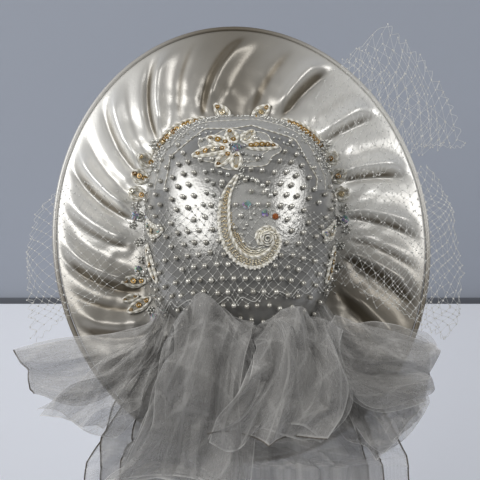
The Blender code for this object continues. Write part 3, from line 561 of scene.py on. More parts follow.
def gather_height(direction, share, crispness=0.0):
    """Height of the gathers: a ridge and a valley for each, as bell curves of the turn away from
    its swirled line. Crispness adds a narrow crest and a tuck under its lower side, and lets the
    gathers run on towards the rim."""
    fade = smooth_step(share, FOLD_FADE + 0.10 * crispness, 1.0)
    rise = smooth_step(share, FOLD_START, FOLD_FULL) * (1.0 - fade)
    lean = -np.tanh(3.0 * np.cos(direction))
    total = 0.0
    for away, height in gather_turns(direction, share):
        form = np.exp(-away ** 2) - FOLD_VALLEY_DEPTH * np.exp(-(away + FOLD_VALLEY_SHIFT) ** 2)
        crest = np.exp(-(2.3 * away) ** 2) - 1.6 * np.exp(-(2.5 * (away - 0.9 * lean)) ** 2)
        total = total + height * (form * height ** crispness + crispness * height ** 3 * crest)
    return FOLD_HEIGHT * rise * total


def brim_surface(direction, share, crispness=0.0):
    """The brim's upper face, from the head opening (0) to the rim (1)."""
    inner = crown_reach(direction, CROWN_WALL)
    rim = rim_reach(direction)
    u = inner * np.cos(direction) * (1 - share) + (BRIM_CENTRE[0] + rim * np.cos(direction)) * share
    v = inner * np.sin(direction) * (1 - share) + (BRIM_CENTRE[1] + rim * np.sin(direction)) * share
    w = gather_height(direction, share, crispness) - SEAM_GAP - BRIM_DROOP * share ** BRIM_DROOP_POWER
    return joined(u, v, w)


def brim_share(u, v):
    """Direction of a place, and its share of the way from the opening to the rim."""
    direction = np.arctan2(v, u)
    inner = crown_reach(direction, CROWN_WALL)
    share = (np.hypot(u, v) - inner) / (rim_reach(direction) - inner)
    return direction, np.clip(share, 0.0, 1.0)


def brim_height(u, v):
    """Height of the brim's upper face."""
    return brim_surface(*brim_share(u, v))[..., 2]


# Mesh making

def patch(points, slot=0, tone=0.5):
    """One or more grids of points (..., rows, columns, 3) as quads. UV is in metres: the mean
    distance along the columns and along the rows. A tone belongs to each grid or to each
    point."""
    points = np.asarray(points, dtype=float)
    rows, columns = points.shape[-3:-1]
    grids = points.reshape(-1, rows, columns, 3)
    count = len(grids)
    along_columns = np.linalg.norm(np.diff(grids, axis=2), axis=-1).mean(axis=(0, 1))
    along_rows = np.linalg.norm(np.diff(grids, axis=1), axis=-1).mean(axis=(0, 2))
    uv = np.stack(np.meshgrid(np.append(0.0, np.cumsum(along_columns)),
                              np.append(0.0, np.cumsum(along_rows))), axis=-1)
    index = np.arange(rows * columns).reshape(rows, columns)
    quad = np.stack((index[:-1, :-1], index[:-1, 1:], index[1:, 1:], index[1:, :-1]), axis=-1)
    starts = np.arange(count)[:, None, None] * rows * columns
    quads = (quad.reshape(-1, 4)[None] + starts).reshape(-1, 4)
    spots = rows * columns
    tones = np.reshape(tone, (-1, spots if np.size(tone) == count * spots else 1))
    tones = np.broadcast_to(tones, (count, spots))
    return (grids.reshape(-1, 3), quads, np.tile(uv.reshape(-1, 2), (count, 1)), tones.ravel(),
            np.full(len(quads), slot))


def make_piece(name, patches, materials, nodes=()):
    """Join patches into one piece that rides on the hat and stands for the nodes it replaces.
    Points that meet at a seam or a pole are merged."""
    starts = np.cumsum([0] + [len(part[0]) for part in patches[:-1]])
    quads = np.concatenate([part[1] + start for part, start in zip(patches, starts)])
    mesh = bpy.data.meshes.new(name)
    mesh.from_pydata(tipped(np.concatenate([part[0] for part in patches])), [], quads.tolist())
    uv = np.concatenate([part[2] for part in patches])
    mesh.uv_layers.new(name="cloth").uv.foreach_set("vector", uv[quads.ravel()].ravel())
    tone = mesh.attributes.new("tone", "FLOAT", "POINT")
    tone.data.foreach_set("value", np.concatenate([part[3] for part in patches]))
    mesh.polygons.foreach_set("material_index", np.concatenate([part[4] for part in patches]))
    mesh.polygons.foreach_set("use_smooth", np.ones(len(quads), dtype=bool))
    seams = bmesh.new()
    seams.from_mesh(mesh)
    bmesh.ops.remove_doubles(seams, verts=seams.verts, dist=1e-6)
    bmesh.ops.dissolve_degenerate(seams, edges=seams.edges, dist=1e-7)
    seams.to_mesh(mesh)
    seams.free()
    for material in materials:
        mesh.materials.append(material)
    piece = bpy.data.objects.new(name, mesh)
    bpy.context.scene.collection.objects.link(piece)
    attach(piece, "root")
    if nodes:
        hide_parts(*nodes)
    return piece


def give_wall(piece, thickness):
    """Give an open surface its wall, inward from its face."""
    wall = piece.modifiers.new("wall", "SOLIDIFY")
    wall.thickness = thickness
    wall.offset = -1.0
    wall.use_even_offset = False


def across_axes(normals):
    """Two directions square to each normal and to each other."""
    spare = np.where(np.abs(normals[..., :1]) < 0.8, [[1.0, 0.0, 0.0]], [[0.0, 1.0, 0.0]])
    first = unit(np.cross(spare, normals))
    return first, np.cross(normals, first)


def tubes(paths, radius, sides, up=(0.0, 0.0, 1.0)):
    """Round cords along paths (..., points, 3): a circle square to the path at each point."""
    paths = np.asarray(paths, dtype=float)
    ahead = unit(np.gradient(paths, axis=-2))
    beside = unit(np.cross(ahead, np.broadcast_to(up, ahead.shape)))
    over = np.cross(beside, ahead)
    turn = np.linspace(0.0, math.tau, sides + 1)
    radius = np.broadcast_to(radius, paths.shape[:-1])[..., None, None]
    circle = beside[..., None, :] * np.cos(turn)[:, None] + over[..., None, :] * np.sin(turn)[:, None]
    return paths[..., None, :] + radius * circle


def turned(profile, sides):
    """A profile of (radius, height) turned once about its axis."""
    radius, height = np.asarray(profile, dtype=float).T[..., None]
    turn = np.linspace(0.0, math.tau, sides + 1)
    return joined(radius * np.cos(turn), radius * np.sin(turn), height)


def ball(sides, rows):
    """A round bead of radius 1."""
    turn = np.linspace(-math.pi / 2, math.pi / 2, rows + 1)
    return turned(joined(np.cos(turn), np.sin(turn)), sides)


def stand(shape, places, normals, sizes):
    """Copies of a unit shape, each scaled and stood at its place along its normal. One normal may
    serve all."""
    places = np.reshape(places, (-1, 3))
    normals = np.broadcast_to(np.reshape(normals, (-1, 3)), places.shape)
    first, second = across_axes(normals)
    axes = np.stack((first, second, normals), axis=-2)
    sizes = np.broadcast_to(sizes, len(places))
    return places[:, None, None] + sizes[:, None, None, None] * np.einsum("rci,kij->krcj", shape, axes)


def beads(places, normals, radius, slot=0, tones=0.5, sides=6, rows=4):
    """Round beads stood at their places."""
    return patch(stand(ball(sides, rows), places, normals, radius), slot, tones)


def crown_beads(places, radius, slot=0, tones=0.5, sides=6, rows=4, lift=None):
    """Beads on the crown, seated on it by their radius unless another lift is given."""
    normals = crown_normals(places)
    lift = radius if lift is None else lift
    return beads(places + normals * lift, normals, radius, slot, tones, sides, rows)


# Lace motifs

def crown_seat(across, along, heading):
    """Seat of a motif on the crown: a plane at its root, dropped along the root's normal."""
    root = crown_place(across, along)
    normal = crown_normals(root)
    ahead = np.array((math.cos(math.radians(heading)), math.sin(math.radians(heading)), 0.0))
    ahead = unit(ahead - normal * (ahead @ normal))
    beside = np.cross(normal, ahead)

    def seat(a, b, lift):
        return onto_crown(root + a[..., None] * ahead + b[..., None] * beside, normal, lift)
    return seat


def on_brim(u, v, lift):
    """Places on the brim for lace and beads: over the highest spot close by."""
    near = ((0, 0), (1, 0), (-1, 0), (0, 1), (0, -1))
    rest = np.max([brim_height(u + BRIM_FEEL * x, v + BRIM_FEEL * y) for x, y in near], axis=0)
    return joined(u, v, rest + lift)


def turned_place(reach, angle, turn, a, b):
    """Place a along and b across a heading, from a spot at a reach and an angle."""
    return (reach * math.cos(angle) + a * math.cos(turn) - b * math.sin(turn),
            reach * math.sin(angle) + a * math.sin(turn) + b * math.cos(turn))


def brim_seat(direction, out, heading):
    """Seat of a motif on the brim, out from the crown by a distance."""
    angle = math.radians(direction)
    reach = crown_reach(angle) + out

    def seat(a, b, lift):
        return on_brim(*turned_place(reach, angle, angle + math.radians(heading), a, b), lift)
    return seat


def arc_seat(start, end, out):
    """Seat of an arc that follows the crown's base on the brim."""
    side = 1.0 if end < start else -1.0

    def seat(a, b, lift):
        angle = np.radians(start + (end - start) * a)
        reach = crown_reach(angle) + out + side * b
        return on_brim(reach * np.cos(angle), reach * np.sin(angle), lift)
    return seat


def leaf_line(length, bend):
    """A leaf's bent middle line in its plane: share to place and direction across it."""
    def at(share):
        turn = bend * (share - 0.5)
        if abs(bend) < 1e-6:
            middle = joined(share * length, 0.0)
        else:
            radius, start = length / bend, -bend / 2
            middle = radius * joined(np.sin(turn) - math.sin(start), math.cos(start) - np.cos(turn))
        return middle, joined(-np.sin(turn), np.cos(turn))
    return at


def path_line(path):
    """The same for a given middle line, read smoothly between its points."""
    rows = smooth_rows(path, 200)
    ahead = unit(np.gradient(rows, axis=0))
    ticks = np.linspace(0, 1, len(rows))

    def at(share):
        x, y, ahead_x, ahead_y = (np.interp(share, ticks, values) for values in (*rows.T, *ahead.T))
        return joined(x, y), joined(-ahead_y, ahead_x)
    return at


def smooth_rows(table, count):
    """Rows read evenly along a Catmull-Rom curve through the table's rows."""
    rows = np.asarray(table, dtype=float)
    padded = np.vstack((2 * rows[0] - rows[1], rows, 2 * rows[-1] - rows[-2]))
    place = np.linspace(0, len(rows) - 1, count)
    span = np.minimum(place.astype(int), len(rows) - 2)
    t = (place - span)[:, None]
    before, start, end, after = (padded[span + i] for i in range(4))
    return 0.5 * (2 * start + (end - before) * t + (2 * before - 5 * start + 4 * end - after) * t ** 2
                  + (3 * start - before - 3 * end + after) * t ** 3)


# Material numbers of a lace motif's parts, and the sequins' cupped form and size
GROUND, CORD, AMBER, CLEAR, CRYSTAL = range(5)
SEQUIN_KINDS = {"amber": (AMBER, AMBER, AMBER), "clear": (CLEAR, CLEAR, CLEAR),
                "mixed": (AMBER, CLEAR, AMBER), "crystal": (CRYSTAL, CLEAR, CRYSTAL)}
SEQUIN_PROFILE = ((0.0, -0.02), (0.55, 0.10), (1.0, 0.34), (0.96, 0.42), (0.55, 0.22), (0.0, 0.12))
SEQUIN_RADIUS = 0.0026
# Outlines of a motif: share of its half width, rise and cord radius
OUTLINES = ((1.0, 0.0007, 0.00110), (0.68, 0.0006, 0.00035), (1.38, 0.0004, 0.00045))


def lace_patches(line, half_width, seat, lift, sequins, kind, seed, stations, outline_count):
    """A beaded lace motif: a thin woven ground with a raised middle, a gimp cord round its edge
    with a finer one inside it, cupped sequins held by beads along the middle line, and seed
    beads between them and the cord. A third, looser outline may run outside. line gives places
    across, half_width their reach."""
    random = np.random.default_rng(seed)

    def at(share, side, rise):
        middle, across = line(share)
        place = middle + across * (half_width(share) * side)[..., None]
        return seat(place[..., 0], place[..., 1], lift + rise)

    share, side = np.meshgrid(np.linspace(0, 1, stations), np.linspace(-1, 1, 9), indexing="ij")
    parts = [patch(at(share, side, 0.0005 * (1 - side ** 2)), GROUND)]
    for side, rise, radius in OUTLINES[:outline_count]:
        margin = 0.0 if side >= 1.0 else 0.08
        ends = np.linspace(margin, 1.0 - margin, stations)
        loop = at(np.concatenate((ends, ends[::-1])), np.repeat((side, -side), stations), rise)
        parts.append(patch(tubes(np.concatenate((loop, loop[:1])), radius, 7), CORD))
    if sequins:
        places = np.linspace(0.18, 0.86, sequins) if sequins > 1 else np.array([0.45])
        size = SEQUIN_RADIUS * np.clip(half_width(places) / 0.0036, 0.6, 1.0)
        centres, tips = at(places, 0.0, 0.0010), at(places, 0.0, 0.0020)
        leans = unit(unit(tips - centres) + random.normal(scale=0.14, size=(sequins, 3)))
        cup = turned(SEQUIN_PROFILE, 12)
        for index, (centre, lean) in enumerate(zip(centres, leans)):
            tone = random.uniform(0, 1)
            parts += [patch(stand(cup, centre, lean, size[index]), SEQUIN_KINDS[kind][index % 3], tone),
                      beads(centre + lean * 0.0007, lean, size[index] * 0.36, CLEAR, tone, 8, 5)]
    count = stations // 3
    for side in (-0.42, 0.42):
        share = np.linspace(0.12, 0.88, count) + random.uniform(-0.01, 0.01, count)
        parts.append(beads(at(share, side, 0.0008), (0, 0, 1), 0.00055, CLEAR,
                           random.uniform(0, 1, count)))
    return parts


def rounded_width(width):
    """A leaf's half width: part of a sine arch, made fuller by LEAF_FULLNESS."""
    def half(share):
        arch = np.sin(math.pi * (LEAF_TIPS[0] + (LEAF_TIPS[1] - LEAF_TIPS[0]) * share))
        return width / 2 * arch ** LEAF_FULLNESS
    return half


# Net and tulle

def net_puff(border, layer):
    """Surface of a net puff over places of the brim plane: it leaves the crown, arches over the
    brim as half a sine wave and ends past the rim. Each layer is crumpled its own way. Gives the
    points, and which of the places lie within the puff."""
    border = np.asarray(border, dtype=float)
    middle = border[:, 0].mean()
    low = NET_ROOT_HEIGHT * CROWN_DEPTH
    power = 2.0 / CROWN_SHOULDER_POWER

    def at(u, v):
        direction = (np.degrees(np.arctan2(v, u)) - middle + 180.0) % 360.0 - 180.0 + middle
        reach = np.interp(direction, border[:, 0], border[:, 1]) * BRIM_HALF_LENGTH
        rise = np.interp(direction, border[:, 0], border[:, 2]) * CROWN_DEPTH
        start = crown_reach(np.radians(direction)) * (1.0 - NET_ROOT_HEIGHT ** power) ** (1.0 / power)
        start = start + NET_SEAT
        y = (np.hypot(u, v) - start) / (reach * (1 - 0.05 * layer) - start)
        inside = (y >= 0.0) & (y <= 1.0) & (direction >= border[0, 0]) & (direction <= border[-1, 0])
        y = np.clip(y, 0.0, 1.0)
        w = low + (rise - low) * y + (NET_CREST - 0.007 * layer) * np.sin(math.pi * y)
        points = joined(u, v, w)
        crumple = joined(*(ripple(points, 0.060, 20 + 3 * layer + axis) for axis in range(3)))
        return points + (0.0040 * smooth_step(y, 0.05, 0.4))[..., None] * crumple, inside
    return at


def puff_rim(border, at, side=None):
    """Places along a puff's outer border, or along one of its sides, for its border thread."""
    border = np.asarray(border, dtype=float)
    share = np.linspace(0.0, 1.0, 90)
    zigzag = RIM_SWING * np.arcsin(0.96 * np.sin(math.tau * RIM_WAVES * share))
    if side is None:
        direction = border[0, 0] + (border[-1, 0] - border[0, 0]) * (0.01 + 0.98 * share)
        reach = np.interp(direction, border[:, 0], border[:, 1]) * BRIM_HALF_LENGTH * (0.98 + zigzag)
    else:
        direction = border[side, 0] + (border[1, 0] - border[0, 0]) * (0.05 + 3 * zigzag)
        reach = border[side, 1] * BRIM_HALF_LENGTH * (0.99 - 0.42 * share)
    angle = np.radians(direction)
    return at(reach * np.cos(angle), reach * np.sin(angle))[0]


def net_crown_place(x, y):
    """Surface of the net stretched over the crown between its two bowed borders."""
    across = NET_CROWN_SPAN[0] + (NET_CROWN_SPAN[1] - NET_CROWN_SPAN[0]) * x
    along = NET_CROWN_BORDERS[0] + (NET_CROWN_BORDERS[1] - NET_CROWN_BORDERS[0]) * y
    along = along * np.sqrt(1.0 - NET_CROWN_BOW * across ** 2) + 0.10 * across * y
    seat = crown_place(across, along)
    crumple = ripple(joined(across, along), 0.35, 77)
    normals = crown_normals(seat)
    slide = joined(0.0022 * crumple, 0.0018 * ripple(seat[..., :2], 0.05, 78), 0.0)
    slide = slide - normals * (slide * normals).sum(axis=-1, keepdims=True)
    return seat + slide + normals * 0.0012


def net_patches(at, columns, rows, thread, knot):
    """Diamond net: two families of slanting threads, straight from knot to knot. Knots stand at
    every second place of a grid of columns and rows. at gives the points of grid places, and
    which of them the net reaches."""
    column, row = np.meshgrid(np.arange(columns + 1), np.arange(rows + 1), indexing="ij")
    points, inside = at(column, row)
    parts = []
    for slant in (1, -1):
        for start in range(-rows, columns + rows + 1):
            step = np.arange(rows + 1)
            across = start + slant * step
            step = step[(across >= 0) & (across <= columns)]
            if start % 2 or len(step) < 2:
                continue
            across = start + slant * step
            held = inside[across, step].astype(int)
            ends = np.flatnonzero(np.diff(np.concatenate(([0], held, [0]))))
            for first, last in ends.reshape(-1, 2):
                if last - first > 1:
                    path = points[across[first:last], step[first:last]]
                    parts.append(patch(tubes(path, thread / 2, 4)))
    knots = ((column + row) % 2 == 0) & inside
    parts.append(beads(points[knots], (0, 0, 1), knot / 2, sides=5, rows=3))
    return parts


def puff_net(border, layer, cell, turn, thread, knot):
    """Net of one layer of a puff, with cells of a width and a height, turned in the plane."""
    surface = net_puff(border, layer)
    angle = math.radians(np.mean([row[0] for row in border]))
    columns, rows = (int(4 * NET_HALF_SPAN / size) for size in cell)

    def at(column, row):
        a = (column - columns / 2) * cell[0] / 2
        b = (row - rows / 2) * cell[1] / 2
        return surface(*turned_place(NET_MIDDLE, angle, turn, a, b))
    return net_patches(at, columns, rows, thread, knot)


def selvedge(place, waves, swing, thread):
    """The crown net's zigzag border thread: a triangle wave along its lower edge."""
    x = np.linspace(0.02, 0.98, waves * 8)
    zigzag = swing * np.arcsin(0.96 * np.sin(math.tau * waves * x)) / (math.pi / 2)
    return patch(tubes(place(x, 1.0 - swing + zigzag), thread / 2, 5))


def crown_half_length(u, w):
    """How far the crown reaches down the brim at a place across and a height."""
    power = 2.0 / CROWN_SHOULDER_POWER
    left = np.maximum(1.0 - (np.maximum(w, 0.0) / CROWN_DEPTH) ** power, 0.0)
    left = left ** (CROWN_BASE_POWER / power) - np.abs(u / CROWN_HALF_WIDTH) ** CROWN_BASE_POWER
    return CROWN_HALF_LENGTH * np.maximum(left, 0.0) ** (1.0 / CROWN_BASE_POWER)


def clear_of_hat(u, v, w, gap):
    """Push tulle down the brim until it clears the crown's wall, and up off the brim."""
    reach = crown_half_length(u, w)
    v = np.where(reach > 0.0, np.minimum(v, -reach - TULLE_SEAT - gap), v)
    direction = np.arctan2(v, u)
    over = np.hypot(u, v) < rim_reach(direction) + TULLE_CLEARANCE
    w = np.where(over, np.maximum(w, brim_height(u, v) + TULLE_CLEARANCE + gap), w)
    return joined(u, v, w)


def creases(points, wavelength, seed):
    """Crushed cloth from -1 to 1: a sum of triangle waves in fixed but scattered directions, which
    meet in straight folds between nearly flat fields. Also gives the lines of the folds."""
    random = np.random.default_rng(seed)
    total = 0.0
    lines = np.zeros(points.shape[:-1])
    waves = 4
    for _ in range(waves):
        heading = random.normal(size=points.shape[-1])
        heading *= math.tau / wavelength / np.linalg.norm(heading) * random.uniform(0.6, 1.5)
        phase = points @ heading + random.uniform(0, math.tau)
        total = total + np.arcsin(0.97 * np.sin(phase)) / (math.pi / 2)
        lines = np.maximum(lines, smooth_step(np.abs(np.sin(phase)), 0.990, 1.0))
    return total / math.sqrt(waves), lines


def tulle_points(table, falls, pleats, crush, layer, spread, seed, rows, columns):
    """One layer of a tulle sheet. Its sections are read smoothly along the table. It is crushed
    its own way, and its pleats run out from the gather and wander. Also gives its fold lines."""
    section = smooth_rows(table, rows).T[..., None]
    share = np.linspace(0.0, 1.0, columns)[None]
    length = np.linspace(0.0, 1.0, rows)[:, None]
    wide = 0.5 + (share - 0.5) * spread
    if falls:
        along, out, left, right, drop, pleat = section
        u = (left + (right - left) * wide) * BRIM_HALF_WIDTH
        v = (along - drop * (2 * share - 1) ** 2) * BRIM_HALF_LENGTH
        wave = np.cos(math.tau * pleats * share + PLEAT_DRIFT * along)
    else:
        across_1, along_1, across_2, along_2, out, pleat = section
        u = (across_1 + (across_2 - across_1) * wide) * BRIM_HALF_WIDTH
        v = (along_1 + (along_2 - along_1) * wide) * BRIM_HALF_LENGTH
        wave = np.sin(math.tau * pleats * share)
    cloth = joined(share, 1.6 * length)
    wander = ripple(cloth, 1.1, seed)
    fold = np.arcsin(0.97 * np.sin(math.tau * pleats * 2.2 * (share + 0.09 * wander) + 1.7 * layer))
    near_gather = 1.0 - 0.55 * smooth_step(length, 0.1, 0.8)
    w = out * CROWN_DEPTH + pleat * PLEAT_HEIGHT * (0.8 * wave + 0.7 * near_gather * fold)
    w = w - layer * 0.0035 * smooth_step(length, 0.0, 0.2)
    wavelengths, depths = np.transpose(CRUSH)
    shifts, lines = zip(*(creases(cloth, wavelength, seed + 5 + axis)
                          for axis, wavelength in enumerate(wavelengths)))
    reach = crush * depths * smooth_step(length, 0.0, 0.35)[..., None]
    points = joined(u, v, w) + reach * joined(*shifts)
    folds = lines[2] * smooth_step(length, 0.05, 0.3)
    return clear_of_hat(*np.moveaxis(points, -1, 0), 0.0006 * (layer + 1)), folds


def veil_fall(points, rows, seed):
    """Carry the veil's last section down as it falls past the rim, flaring a little, while its
    folds soften and drift sideways."""
    share = np.linspace(0.0, 1.0, rows + 1)[1:, None, None]
    lowest = points[-1:]
    flare = np.array((VEIL_FLARE - 1.0, 0.0, 0.0)) * share + 1.0
    drop = np.array((0.0, -math.sin(TIP), -math.cos(TIP))) * VEIL_FALL * share
    fall = lowest * flare + drop
    cloth = joined(4.0 * np.linspace(0.0, 1.0, points.shape[1]), share[..., 0])
    drift = joined(*(ripple(cloth, 1.3, seed + axis) for axis in range(3)))
    fall = fall + np.minimum(2.0 * share, 1.0) * np.array((0.0035, 0.0025, 0.0025)) * drift
    return np.concatenate((points, fall))


# Materials

def linear(hex_colour):
    """An sRGB hex colour as linear values."""
    values = [int(hex_colour[i:i + 2], 16) / 255 for i in (1, 3, 5)]
    return tuple(v / 12.92 if v <= 0.04045 else ((v + 0.055) / 1.055) ** 2.4 for v in values)


def add_node(tree, kind, values=None, links=None):
    """Add one shader node, with its settings and what its sockets are linked from."""
    made = tree.nodes.new("ShaderNode" + kind)
    for key, value in (values or {}).items():
        if isinstance(key, int) or key in made.inputs:
            made.inputs[key].default_value = value
        else:
            setattr(made, key, value)
    for key, source in (links or {}).items():
        tree.links.new(source, made.inputs[key])
    return made


def start_material(name, colour, **values):
    """A material with one Principled shader. Returns it, its node tree and its shader."""
    material = bpy.data.materials.new(name)
    material.use_nodes = True
    tree = material.node_tree
    shader = tree.nodes["Principled BSDF"]
    shader.inputs["Base Color"].default_value = (*colour, 1.0)
    for key, value in values.items():
        shader.inputs[key.replace("_", " ")].default_value = value
    return material, tree, shader


def pattern(tree, kind, size, output="Fac", on_cloth=False, **settings):
    """A texture whose features have a size in metres, laid through the hat or along its cloth.
    The bands of a wave lie twice that size apart, and slanting ones nearly three times."""
    place = (add_node(tree, "UVMap", {"uv_map": "cloth"}).outputs["UV"] if on_cloth
             else add_node(tree, "TexCoord").outputs["Object"])
    scale = 1 / size / math.tau if kind == "Wave" else 1 / size
    made = add_node(tree, "Tex" + kind, {"Scale": scale, **settings}, {"Vector": place})
    return made.outputs[output]


def own_tone(tree):
    """The tone that a piece's own points carry."""
    return add_node(tree, "Attribute", {"attribute_name": "tone"}).outputs["Fac"]


def mix(tree, factor, first, second):
    """Two colours mixed by a factor socket. Either colour may be a socket."""
    values, links = {"data_type": "RGBA"}, {0: factor}
    for socket, colour in ((6, first), (7, second)):
        if isinstance(colour, bpy.types.NodeSocket):
            links[socket] = colour
        else:
            values[socket] = (*colour, 1.0)
    return add_node(tree, "Mix", values, links).outputs[2]


def paint(tree, shader, factor, first, second):
    """Colour a shader with two colours mixed by a factor."""
    tree.links.new(mix(tree, factor, first, second), shader.inputs["Base Color"])


def emboss(tree, shader, height, strength):
    """Raise a shader's surface by a pattern, 0.3 mm at most."""
    bump = add_node(tree, "Bump", {"Strength": strength, "Distance": 0.0003}, {"Height": height})
    tree.links.new(bump.outputs["Normal"], shader.inputs["Normal"])


def toned_material(name, dark, light, **values):
    """A finish that runs from a dark to a light colour by each piece's own tone."""
    material, tree, shader = start_material(name, light, **values)
    paint(tree, shader, own_tone(tree), dark, light)
    return material


def satin_material(name, roughness, metallic, share, slub_strength=0.30):
    """Duchesse satin, woven of fine silk-like filament with long floats: a strong silvery gloss
    that runs along the folds over a darker warm body, with a faint slub. The share scales the colour
    where the cloth is stretched, piece by piece, which paints lit and shaded copies of one satin:
    lighter on the brim and its edge, darker on the crown. Metallic stands for the floats' gloss."""
    look = bpy.context.scene.hat_colours
    light, shade = (tuple(share * value for value in colour)
                    for colour in (look.satin, look.satin_shade))
    material, tree, shader = start_material(name, light, Roughness=roughness, Metallic=metallic)
    body = mix(tree, pattern(tree, "Noise", 0.035, Detail=3.0), shade, light)
    # Tone paints shade into the satin: deep in each gather's tuck, where satin only mirrors satin, and
    # on the sides of the brim where the gloss turns away.
    paint(tree, shader, own_tone(tree), body, look.satin_painted_shade)
    # Threads lie 0.12 mm apart on real satin. Drawn 2 mm apart, so that a little slub shows.
    emboss(tree, shader, pattern(tree, "Noise", 0.002, Detail=4.0), slub_strength)
    return material


def ground_material():
    """Fine embroidery ground under the motifs: cotton stitches laid side by side on organza, matt
    and slightly open, so the satin glows through it."""
    look = bpy.context.scene.hat_colours
    material, tree, shader = start_material("embroidered_ground", look.lace_ground, Roughness=0.6,
                                            Sheen_Weight=0.3, Alpha=0.58)
    # Stitches lie 0.6 mm apart across the motif. Drawn 1.2 mm apart, so that they show.
    stitch = pattern(tree, "Wave", 0.0006, on_cloth=True, Distortion=1.5, bands_direction="Y")
    # Painted shade: the hollows between the stitches are painted darker.
    paint(tree, shader, stitch, look.lace_hollow_shade, look.lace_ground)
    emboss(tree, shader, stitch, 0.5)
    return material


def organza_material():
    """Silk organza under the beadwork: sheer and pale, so the satin's gloss shows through it."""
    look = bpy.context.scene.hat_colours
    material, tree, shader = start_material("organza", look.organza, Roughness=0.5, Sheen_Weight=0.3)
    # The weave thickens and thins over 8 mm, from a fifth to half of the light stopped.
    weave = pattern(tree, "Noise", 0.008, Detail=4.0)
    cover = add_node(tree, "Math", {"operation": "MULTIPLY_ADD", 1: 0.30, 2: 0.20}, {0: weave})
    tree.links.new(cover.outputs["Value"], shader.inputs["Alpha"])
    return material


def cord_material():
    """Gimp cord of white viscose filament twisted round a core: bright, with slanting twists."""
    look = bpy.context.scene.hat_colours
    material, tree, shader = start_material("gimp_cord", look.cord, Roughness=0.42,
                                            Sheen_Weight=0.2, Specular_IOR_Level=0.6)
    # One twist in 1.4 mm of cord. Drawn one in 4 mm, so that it shows.
    twist = pattern(tree, "Wave", 0.0014, on_cloth=True, Distortion=0.4, bands_direction="DIAGONAL")
    # Painted shade: the hollows between the twists are painted darker.
    paint(tree, shader, twist, look.lace_hollow_shade, look.cord)
    emboss(tree, shader, twist, 0.6)
    return material


def amber_material():
    """Amber lustre glass and cupped foil sequins: a deep gold that varies from piece to piece,
    with a hard clear gloss."""
    look = bpy.context.scene.hat_colours
    return toned_material("amber_lustre", look.amber_deep, look.amber, Roughness=0.16,
                          Metallic=0.35, Coat_Weight=0.8, Coat_Roughness=0.05)


def clear_material():
    """Clear and champagne foil sequins: a pale gloss with a little gold in it."""
    look = bpy.context.scene.hat_colours
    return toned_material("clear_sequin", look.clear_gold, look.clear, Roughness=0.14,
                          Metallic=0.5, Coat_Weight=0.8, Coat_Roughness=0.05)


def bead_material():
    """Clear silver-lined glass seed beads: grey and bright, with a mirror behind the glass."""
    look = bpy.context.scene.hat_colours
    return toned_material("silver_lined_glass", look.bead_shade, look.bead, Roughness=0.22,
                          Metallic=0.50, Coat_Weight=0.6, Coat_Roughness=0.04)


def pearl_material():
    """Grey pearls: an opaque bead with a lustre coat that mirrors the window softly."""
    look = bpy.context.scene.hat_colours
    return toned_material("lustre_pearl", look.pearl_shade, look.pearl, Roughness=0.16,
                          Metallic=0.45, Coat_Weight=0.7, Coat_Roughness=0.08)


def blue_bead_material():
    """Dark blue faceted glass: deep and glossy, with a hard clear glint."""
    look = bpy.context.scene.hat_colours
    material, tree, shader = start_material("blue_glass", look.blue_bead, Roughness=0.08,
                                            Metallic=0.30, Coat_Weight=1.0, Coat_Roughness=0.03)
    # Facets about 1 mm across differ in depth of colour.
    paint(tree, shader, pattern(tree, "Voronoi", 0.001, "Distance"), look.blue_bead, look.bead_shade)
    return material


def orange_bead_material():
    """Burnt orange glass bead: deep and clear, with a bright glint."""
    look = bpy.context.scene.hat_colours
    material, tree, shader = start_material("orange_glass", look.orange_bead, Roughness=0.12,
                                            Coat_Weight=1.0, Coat_Roughness=0.02)
    # Streaks 2 mm long in the glass.
    streak = pattern(tree, "Noise", 0.002, Detail=2.0)
    paint(tree, shader, streak, look.amber_deep, look.orange_bead)
    return material


def crystal_material():
    """Foil-backed cut crystal with an iridescent film: blue and green glints from its facets."""
    look = bpy.context.scene.hat_colours
    material, tree, shader = start_material("cut_crystal", look.crystal, Roughness=0.05, Metallic=0.7,
                                            Coat_Weight=1.0, Coat_Roughness=0.02)
    # Glints 2 mm across turn from blue to green and rose.
    glint = pattern(tree, "Voronoi", 0.002, "Color")
    hue = add_node(tree, "Mix", {"data_type": "RGBA", 0: 0.45, 6: (*look.crystal, 1.0)},
                   {7: glint})
    tree.links.new(hue.outputs[2], shader.inputs["Base Color"])
    return material


def thread_material():
    """Ivory nylon thread of the veiling net: pale with a slight gloss."""
    look = bpy.context.scene.hat_colours
    material, tree, shader = start_material("nylon_thread", look.thread, Roughness=0.45,
                                            Specular_IOR_Level=0.6)
    # The thread turns from the light every 6 mm or so.
    paint(tree, shader, pattern(tree, "Noise", 0.006), look.thread_shade, look.thread)
    return material


def hem_material():
    """Taupe binding thread of the tulle's hems: matt and darker than the cloth."""
    look = bpy.context.scene.hat_colours
    material, tree, shader = start_material("hem_binding", look.hem, Roughness=0.7)
    # Overlock stitches lie 2 mm apart. Drawn 4 mm apart, so that they show.
    stitch = pattern(tree, "Wave", 0.002, on_cloth=True, bands_direction="Y")
    # Painted shade: the hollows between the stitches are painted darker.
    paint(tree, shader, stitch, look.hem_hollow_shade, look.hem)
    return material


